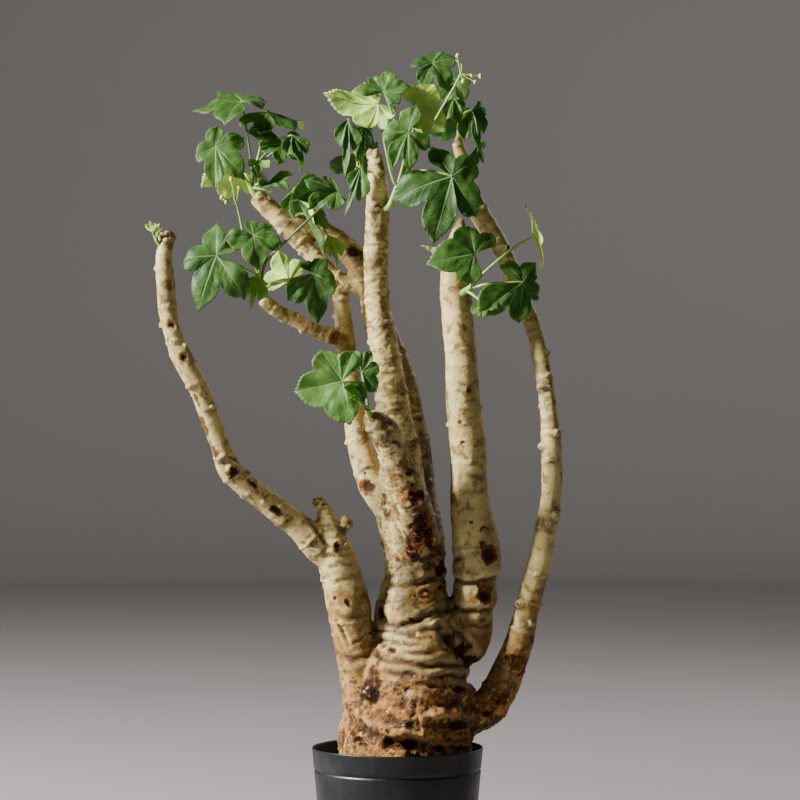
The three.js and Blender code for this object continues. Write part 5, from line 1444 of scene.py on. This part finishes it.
def leaf_blade(hub, tips, depth, tone, leaf, seed):
    """One blade as a closed thin sheet: points in metres, faces, a place on the lobe for each face corner,
    and tone with painted shade, underside and youth for each point."""
    centre = in_space(hub)
    ribs = np.array([in_space(tip) - centre for tip in tips])
    columns = blade_columns(ribs, depth, leaf.teeth)
    count = len(columns)
    chance = random.Random(seed)
    phase = chance.uniform(0, 6.28)
    rows = (np.arange(1, BLADE_ROWS + 1) / BLADE_ROWS) ** 0.85
    way, length, edge, off, side, face, angle, lobe = (np.array(part) for part in zip(*columns))
    length, off, side, angle = (values[:, None] for values in (length, off, side, angle * side))
    reach, tooth = edge.T[:, :, None]
    share = reach * rows + tooth * rows ** 9

    # Each lobe bows, twists and rolls its sides by chance.
    bows = np.array([chance.uniform(0.3, 1.7) for _ in tips])[lobe][:, None]
    twists = np.array([chance.uniform(-0.22, 0.22) for _ in tips])[lobe][:, None]
    rolls = np.array([[chance.uniform(-0.34, 0.3) for _ in range(2)] for _ in tips])
    rolls = rolls[lobe, (side[:, 0] > 0).astype(int)][:, None]

    # The rise off the flat faces, as shares of a rib's length.
    cut = 1 - (1 - LOBE_OUTLINE[-1][1]) * depth
    free = np.clip((share - 0.9 * cut) / (1 - 0.9 * cut), 0, 1)
    bow = bows + (1 - bows) * off ** 2
    arch = leaf.arch * bow * 4 * share * (1 - share)
    fold = leaf.fold * share ** 1.6 * off * (1 - 0.4 * off) + twists * side * off * (1 - off) * share
    margin = np.sin(np.arange(count)[:, None] * 0.42 + phase) * share ** 2 * off
    puff = 0.004 * np.abs(np.sin((share - 0.85 * off * share * 0.5) * 8.5 * math.pi)) * np.minimum(off * 3, 1)
    fold = fold + rolls * free ** 1.6 * off * (1 - off ** 3)
    ripple = 0.015 * np.sin(np.arange(count)[:, None] * 0.6 + 2 * phase) * free * off
    lift = length * (arch + fold + leaf.wave * margin + ripple + puff * (1 - share))
    middle = centre + way[:, None, :] * (share * length)[:, :, None]
    flat = middle.reshape(-1, 3)
    swell = leaf.swell / MM * (cloud(flat, 15, 2) + 0.22 * cloud(flat, 4.5, 2)).reshape(share.shape)
    middle = middle + face[:, None, :] * (lift + swell * np.minimum(2.5 * share, 1))[:, :, None]
    grid = middle.reshape(-1, 3)

    # Two sheets, closest together at the margin.
    hub_face = unit(face.mean(axis=0))
    half = leaf.thickness / MM / 2
    slope = np.repeat(face, BLADE_ROWS, axis=0)
    thin = np.tile(1 - 0.75 * (np.arange(BLADE_ROWS) / (BLADE_ROWS - 1)) ** 3, count)[:, None]
    top = np.vstack([centre + hub_face * half, grid + slope * half * thin])
    bottom = np.vstack([centre - hub_face * half, grid - slope * half * thin])
    below = len(top)
    faces, places = blade_faces(lobe, off[:, 0], share * np.cos(angle), share * np.sin(angle))
    # The leaf's tone is painted shade and light as well as its own green.
    shade = min(max(0.42 + 0.4 * tone + chance.uniform(-0.06, 0.06), 0), 1)
    young = 0.75 if tone >= 1 else (0.3 if tone > 0.65 else 0)
    values = np.tile([shade, 0.0, young], (2 * below, 1))
    values[below:, 1] = 1
    return np.vstack([top, bottom]) * MM, faces, places, values


def blade_faces(lobe, off, along, aside):
    """The faces of a blade's two sheets and its edge, and the place on the lobe of each face corner."""
    count = len(lobe)
    below = 1 + count * BLADE_ROWS
    faces, places = [], []

    def at(column, row):
        return 1 + column * BLADE_ROWS + row

    def spot(column, row, owner):
        if row < 0:
            return (0.0, 0.0)
        flip = 1 if lobe[column] == owner else -1
        return (along[column, row], flip * aside[column, row])

    for c in range(count - 1):
        owner = lobe[c] if lobe[c] == lobe[c + 1] or off[c] < 1 else lobe[c + 1]
        for r in range(-1, BLADE_ROWS - 1):
            corners = [(c, r), (c, r + 1), (c + 1, r + 1), (c + 1, r)]
            if r < 0:
                corners = [(c, -1), (c, 0), (c + 1, 0)]
            index = [0 if row < 0 else at(column, row) for column, row in corners]
            spots = [spot(column, row, owner) for column, row in corners]
            faces.append(index)
            places.append(spots)
            faces.append([i + below for i in reversed(index)])
            places.append(spots[::-1])
    edge = [0] + [at(0, r) for r in range(BLADE_ROWS)]
    edge += [at(c, BLADE_ROWS - 1) for c in range(1, count)]
    edge += [at(count - 1, r) for r in range(BLADE_ROWS - 2, -1, -1)]
    for p, q in zip(edge, edge[1:] + edge[:1]):
        faces.append([p + below, q + below, q, p])
        places.append([(0.5, 0.4)] * 4)
    return faces, places


def shoot_blades(name, leaves, leaf, material):
    """All blades of a shoot as one piece."""
    points, faces, places, values = [], [], [], []
    start = 0
    for number, (hub, _, depth, tone, tips) in enumerate(leaves):
        blade = leaf_blade(hub, tips, depth, tone, leaf, seed=len(name) * 31 + number)
        points.append(blade[0])
        faces += [[i + start for i in face] for face in blade[1]]
        places += blade[2]
        values.append(blade[3])
        start += len(blade[0])
    piece = mesh_object(name + "_blades", kept_inside(np.vstack(points)), faces)
    layer = piece.data.uv_layers.new(name="lobe")
    layer.data.foreach_set("uv", np.array([uv for face in places for uv in face], np.float32).ravel())
    set_colours(piece.data, "leaf_tone_and_shade", np.vstack(values))
    piece.data.materials.append(material)
    return piece


def curve_object(name, routes):
    """A curve object with one open line for each route of [x, y, z, radius] in millimetres."""
    data = bpy.data.curves.new(name, "CURVE")
    data.dimensions = "3D"
    for route in routes:
        spline = data.splines.new("POLY")
        spline.points.add(len(route) - 1)
        for point, row in zip(spline.points, route):
            point.co = (*(row[:3] * MM), 1)
            point.radius = row[3] * MM
    return linked(bpy.data.objects.new(name, data))


def stalk_route(points, first, last):
    """A smooth route through points that line up from the viewpoint, its radius from first to last."""
    radii = np.linspace(first, last, len(points))
    return smooth_line([[*in_space(p), r] for p, r in zip(points, radii)], 1.6)


# How far below a shoot's tip its petioles begin, as a share of the way to the stem's last point but one.
PETIOLE_ROOT = 0.14


def shoot_routes(shoot):
    """The routes of a shoot's stem, petioles and flower stalks, and of its petioles painted dark as shade."""
    stem = shoot["stem"]
    low, tip = np.array(stem[-2][:3], float), np.array(stem[-1][:3], float)
    start = tip + (low - tip) * PETIOLE_ROOT
    routes, dark = [smooth_line([[*in_space(row), row[3]] for row in stem], 1.5)], []
    for number, (hub, way, *_) in enumerate(shoot["leaves"]):
        foot = start if number % 2 == 0 else low
        kind = dark if number in shoot.get("shaded_petioles", []) else routes
        kind.append(stalk_route([foot, *way, hub], 1.15, 0.72))
    for way, buds, fork in shoot.get("sprays", []):
        routes.append(stalk_route(way, 0.95, 0.6))
        routes += [stalk_route([fork, bud], 0.5, 0.4) for bud in buds]
    return {"stalks": routes, "shaded_stalks": dark}


# Operators
def settings(context):
    """The plant's settings."""
    return context.scene.caudex_plant


def material_named(name, make, *args):
    """The material of that name, made once."""
    return bpy.data.materials.get(name) or make(*args)


class CAUDEX_OT_woody_plant(bpy.types.Operator):
    """Build the caudex with its bare stems, bark relief and bark chips"""
    bl_idname = "caudex.woody_plant"
    bl_label = "Woody plant"

    def execute(self, context):
        bark = settings(context).bark
        material = material_named("waxy_bark", bark_material, bark)
        skin = woody_plant(bark, material)
        tree = scatter_tree("bark_chips", material, 0.4, "corky")
        chips = tree.use(twin_of(skin), "bark_chips", Size=bark.chip, Density=bark.chips, Seed=3)
        finish_piece(skin, "bark", "woody_plant")
        finish_piece(chips, "bark")
        return {"FINISHED"}


def arc(centre_r, centre_z, radius, start, end, steps=5):
    """Points of (radius, height) along an arc between two angles in degrees."""
    return [(centre_r + radius * math.cos(turn), centre_z + radius * math.sin(turn))
            for turn in np.radians(np.linspace(start, end, steps))]


# The pot's foot and floor, in metres.
POT_SIDES = 160
FOOT_RADIUS = 0.0405
FOOT_EDGE = 0.0012
FLOOR_TOP = 0.0024
FLOOR_UNDERSIDE = 0.0009
FLOOR_INNER, FLOOR_OUTER = 0.0006, 0.0408
FLOOR_ROWS = 26
DRAIN_HOLES = 8
DRAIN_RING = 0.031
DRAIN_RADIUS = 0.0035
CHANNEL_EDGE, CHANNEL_START = (0.0022, 0.0015), (0.012, 0.016)


class CAUDEX_OT_pot(bpy.types.Operator):
    """Build the tapered plastic pot with its rim band, groove and drained floor"""
    bl_idname = "caudex.pot"
    bl_label = "Pot"

    def execute(self, context):
        pot = settings(context).pot
        groove = pot.height - pot.band

        def wall(height):
            return pot.base + (pot.rim - pot.base) * height / pot.height

        lip = pot.wall * 0.5
        profile = [(FOOT_RADIUS, FLOOR_TOP), (FOOT_RADIUS, FOOT_EDGE)]
        profile += arc(FOOT_RADIUS + FOOT_EDGE, FOOT_EDGE, FOOT_EDGE, 180, 270, 4)
        profile += arc(pot.base - FOOT_EDGE, FOOT_EDGE, FOOT_EDGE, 270, 350)
        profile += [(wall(z), z) for z in np.linspace(0.006, groove - 0.0016, 12)]
        profile += [(wall(groove - 0.0009) - 0.0001, groove - 0.0009),
                    (wall(groove) - pot.groove * 0.8, groove - 0.0004),
                    (wall(groove) - pot.groove, groove + 0.0002),
                    (wall(groove) - pot.groove * 0.55, groove + 0.0008),
                    (wall(groove + 0.0015), groove + 0.0014)]
        profile += [(wall(z), z) for z in np.linspace(groove + 0.003, pot.height - 0.0012, 6)]
        profile += arc(pot.rim - lip, pot.height - lip, lip, 10, 170, 7)
        profile += [(wall(z) - pot.wall, z) for z in np.linspace(pot.height - 0.003, 0.0045, 14)]
        profile += [(wall(FLOOR_TOP) - pot.wall - 0.0016, FLOOR_TOP)]
        faces = round_faces(len(profile), POT_SIDES, closed=True)
        body = mesh_object("pot_body", round_points(profile, POT_SIDES), faces)
        material = material_named("satin_plastic", plastic_material, pot)
        body.data.materials.append(material)
        finish_piece(body, "pot_plastic", "pot")
        finish_piece(self.floor(material), "pot_plastic")
        return {"FINISHED"}

    def floor(self, material):
        """The pot's floor disc with its ring of drain holes and, in its underside, a channel to each."""
        points, faces = [], []
        step = 2 * math.pi / DRAIN_HOLES
        radii = np.linspace(FLOOR_INNER, FLOOR_OUTER, FLOOR_ROWS)
        sheets = [(r, level) for level in (FLOOR_UNDERSIDE, FLOOR_TOP) for r in radii]
        for x, y, level in round_points(sheets, POT_SIDES):
            if level == FLOOR_UNDERSIDE:
                r, t = math.hypot(x, y), math.atan2(y, x)
                off = abs((t / step) % 1 - 0.5) * step * r
                level *= float(rise(*CHANNEL_EDGE, off)) * float(rise(*CHANNEL_START, r))
            points.append((x, y, level))
        top = FLOOR_ROWS * POT_SIDES
        for a, b, c, d in round_faces(FLOOR_ROWS, POT_SIDES):
            x, y = np.mean([points[i][:2] for i in (a, b, c, d)], axis=0)
            hole = (math.floor(math.atan2(y, x) / step) + 0.5) * step
            if math.hypot(x - DRAIN_RING * math.cos(hole), y - DRAIN_RING * math.sin(hole)) < DRAIN_RADIUS:
                continue
            faces.append((d, c, b, a))
            faces.append((a + top, b + top, c + top, d + top))
        plate = mesh_object("pot_floor", points, faces)
        self.close_edges(plate)
        plate.data.materials.append(material)
        return plate

    @staticmethod
    def close_edges(plate):
        """Joins the upper and lower sheet of the plate along every open edge."""
        made = bmesh.new()
        made.from_mesh(plate.data)
        made.verts.ensure_lookup_table()
        half = len(made.verts) // 2
        for edge in [e for e in made.edges if e.is_boundary and max(v.index for v in e.verts) < half]:
            face = edge.link_faces[0]
            loop = next(one for one in face.loops if one.edge == edge)
            a, b = loop.vert, loop.link_loop_next.vert
            made.faces.new((b, a, made.verts[a.index + half], made.verts[b.index + half]))
        bmesh.ops.delete(made, geom=[v for v in made.verts if not v.link_faces], context="VERTS")
        made.to_mesh(plate.data)
        made.free()


# The soil's surface and foot, and the caudex where it stands in the soil, in metres.
SOIL_SIDES = 128
SOIL_ROWS = 26
SOIL_DIP = 0.0012
SOIL_BUMP = 0.0011
SOIL_FOOT = 0.0448
CAUDEX_MIDDLE, CAUDEX_RADIUS = 0.005, 0.044


class CAUDEX_OT_soil(bpy.types.Operator):
    """Build the soil in the pot and the crumbs on it"""
    bl_idname = "caudex.soil"
    bl_label = "Soil"

    def execute(self, context):
        soil = settings(context).soil
        material = material_named("crumbly_soil", soil_material, soil)
        top = SOIL_HIGH.z - SOIL_DIP
        points = []
        for share in np.arange(SOIL_ROWS) / (SOIL_ROWS - 1):
            for x, y, z in round_points([(SOIL_HIGH.x * share ** 0.8, top)], SOIL_SIDES):
                bump = SOIL_BUMP * noise.fractal(Vector((x, y, 0)) / 0.006, 0.8, 2.1, 3)
                points.append((x, y, z + min(bump, SOIL_BUMP) * (1 - share ** 12)))
        points += round_points([(SOIL_FOOT, SOIL_LOW.z)], SOIL_SIDES)
        faces = round_faces(SOIL_ROWS + 1, SOIL_SIDES, inward=True)
        foot = SOIL_ROWS * SOIL_SIDES
        faces.append(tuple(range(foot + SOIL_SIDES - 1, foot - 1, -1)))
        faces.append(tuple(range(SOIL_SIDES - 1, -1, -1)))
        bed = mesh_object("soil_bed", points, faces)
        self.tidy(bed)
        x, y, z = vectors_of(bed.data.vertices, "co").T
        beside = np.hypot(x - CAUDEX_MIDDLE, y) > CAUDEX_RADIUS
        store(bed.data, "open_soil", "FLOAT", "value", (z > top - 0.004) & beside)
        bed.data.materials.append(material)
        tree = scatter_tree("soil_crumbs", material, 1.0, "open_soil")
        crumbs = tree.use(twin_of(bed), "soil_crumbs", Size=soil.crumb, Density=soil.density, Seed=soil.seed)
        finish_piece(bed, "potting_soil", "soil")
        finish_piece(crumbs, "potting_soil")
        return {"FINISHED"}

    @staticmethod
    def tidy(bed):
        """Merges the points at the middle and turns the faces outwards."""
        made = bmesh.new()
        made.from_mesh(bed.data)
        bmesh.ops.remove_doubles(made, verts=made.verts, dist=1e-6)
        bmesh.ops.recalc_face_normals(made, faces=made.faces)
        made.to_mesh(bed.data)
        made.free()


# The shoots whose young tips have hairs, and how many hairs, spread how far in metres.
HAIRY_SHOOTS = ("right_shoot", "top_shoot", "upper_left_shoot")
HAIRS = 16
HAIR_SPREAD = 0.0016


class CAUDEX_OT_shoots(bpy.types.Operator):
    """Build the leaf blades, petioles, flower stalks, buds and stipule hairs of each shoot"""
    bl_idname = "caudex.shoots"
    bl_label = "Leafy shoots"

    def execute(self, context):
        leaf = settings(context).leaf
        blade = material_named("leaf_blade", leaf_material, leaf)
        stalk = material_named("green_stalk", stalk_material, leaf)
        tubes = tube_tree(stalk, sides=10)
        buds = bud_tree(material_named("flower_bud", bud_material, leaf))
        hairs = hair_tree(stalk)
        for name, shoot in SHOOTS.items():
            blades = shoot_blades(name, shoot["leaves"], leaf, blade)
            finish_piece(blades, "leaf", name)
            for kind, routes in shoot_routes(shoot).items():
                if routes:
                    line = curve_object(name + "_routes", routes)
                    # Petioles in shade are painted dark green as shade.
                    stalks = tubes.use(line, name + "_" + kind, Tone=0.85 if kind == "shaded_stalks" else 0.0)
                    finish_piece(stalks, "leaf", name)
            tips = [in_space(bud) * MM for spray in shoot.get("sprays", []) for bud in spray[1]]
            if tips:
                spots = mesh_object(name + "_spots", tips, [])
                finish_piece(buds.use(spots, name + "_buds", Size=leaf.bud, Seed=4), "leaf", name)
            if name in HAIRY_SHOOTS:
                foot = in_space(shoot["stem"][-1]) * MM
                chance = random.Random(8)
                around = [foot + np.array([chance.uniform(-1, 1) for _ in range(3)]) * HAIR_SPREAD
                          for _ in range(HAIRS)]
                spots = mesh_object(name + "_hair_spots", around, [])
                finish_piece(hairs.use(spots, name + "_hairs", Length=leaf.hair, Seed=6), "leaf", name)
        return {"FINISHED"}


class CAUDEX_OT_stage(bpy.types.Operator):
    """Set the pale room, the soft lights and the camera"""
    bl_idname = "caudex.stage"
    bl_label = "Stage"

    def execute(self, context):
        stage = settings(context).stage
        self.room(stage)
        self.light("key", (-2, -0.58, 1.5), (0, 0, 0.36), 0.36, stage.key)
        self.light("back", (1.2, 1.5, 1.2), (0, 0, 0.4), 0.9, stage.key * 0.03)
        world = bpy.data.worlds.new("soft_room")
        world.use_nodes = True
        sky = world.node_tree.nodes["Background"]
        sky.inputs["Color"].default_value = (1, 1, 1, 1)
        sky.inputs["Strength"].default_value = stage.fill
        context.scene.world = world
        lens = bpy.data.cameras.new("camera")
        lens.lens = LENS
        lens.sensor_width = SENSOR
        lens.clip_end = 50
        eye = linked(bpy.data.objects.new("camera", lens))
        eye.location = (VIEW_X * MM, -VIEW_DISTANCE * MM, VIEW_HEIGHT * MM)
        eye.rotation_euler = (math.pi / 2, 0, 0)
        context.scene.camera = eye
        return {"FINISHED"}

    @staticmethod
    def room(stage):
        """A round floor whose edge curves up into a plain wall."""
        cove, wall = 1.2, 3.5
        profile = [(r, 0.0) for r in (0.3, 1.0, 2.0, stage.room - cove)]
        profile += [(stage.room - cove + cove * math.sin(a), cove - cove * math.cos(a))
                    for a in np.linspace(0.1, math.pi / 2, 14)]
        profile.append((stage.room, wall))
        sides = 96
        points = [(0, 0, 0)] + round_points(profile, sides)
        faces = [(0, 1 + k, 1 + (k + 1) % sides) for k in range(sides)]
        faces += round_faces(len(profile), sides, start=1, inward=True)
        floor = mesh_object("floor", points, faces)
        s = Shader("floor_paint")
        s.set(Base_Color=(*stage.floor, 1), Roughness=0.85)
        s.bump(s.noise(30, 3), 0.05, 0.002)
        floor.data.materials.append(s.material)

    @staticmethod
    def light(name, place, aim, size, power):
        """A large square light that faces a point."""
        lamp = bpy.data.lights.new(name, "AREA")
        lamp.shape = "SQUARE"
        lamp.size = size
        lamp.energy = power
        shown = linked(bpy.data.objects.new(name, lamp))
        shown.location = place
        shown.rotation_mode = "QUATERNION"
        shown.rotation_quaternion = (Vector(aim) - Vector(place)).to_track_quat("-Z", "Y")


class CAUDEX_PT_panel(bpy.types.Panel):
    """Lists the plant's pieces and their sizes and colours"""
    bl_label = "Caudex Plant"
    bl_idname = "CAUDEX_PT_panel"
    bl_space_type = "VIEW_3D"
    bl_region_type = "UI"
    bl_category = "Caudex Plant"

    def draw(self, context):
        for name in ("pot", "bark", "leaf", "soil", "stage"):
            box = self.layout.box()
            box.label(text=name.capitalize())
            group = getattr(settings(context), name)
            for key in group.__annotations__:
                box.prop(group, key)
        for operator in OPERATORS:
            self.layout.operator(operator.bl_idname)


OPERATORS = [
    CAUDEX_OT_stage,
    CAUDEX_OT_woody_plant,
    CAUDEX_OT_pot,
    CAUDEX_OT_soil,
    CAUDEX_OT_shoots,
]
CLASSES = [
    PotSettings,
    BarkSettings,
    LeafSettings,
    SoilSettings,
    StageSettings,
    PlantSettings,
    *OPERATORS,
    CAUDEX_PT_panel,
]


def register():
    """Registers the classes and the scene's settings."""
    for item in CLASSES:
        bpy.utils.register_class(item)
    bpy.types.Scene.caudex_plant = PointerProperty(type=PlantSettings)


def unregister():
    """Takes the classes and the scene's settings away again."""
    del bpy.types.Scene.caudex_plant
    for item in reversed(CLASSES):
        bpy.utils.unregister_class(item)


def main():
    """Builds the stage and every piece."""
    register()
    for operator in OPERATORS:
        group, name = operator.bl_idname.split(".")
        if getattr(getattr(bpy.ops, group), name)() != {"FINISHED"}:
            raise RuntimeError(operator.bl_label + " couldn't be built")


if __name__ == "__main__":
    main()
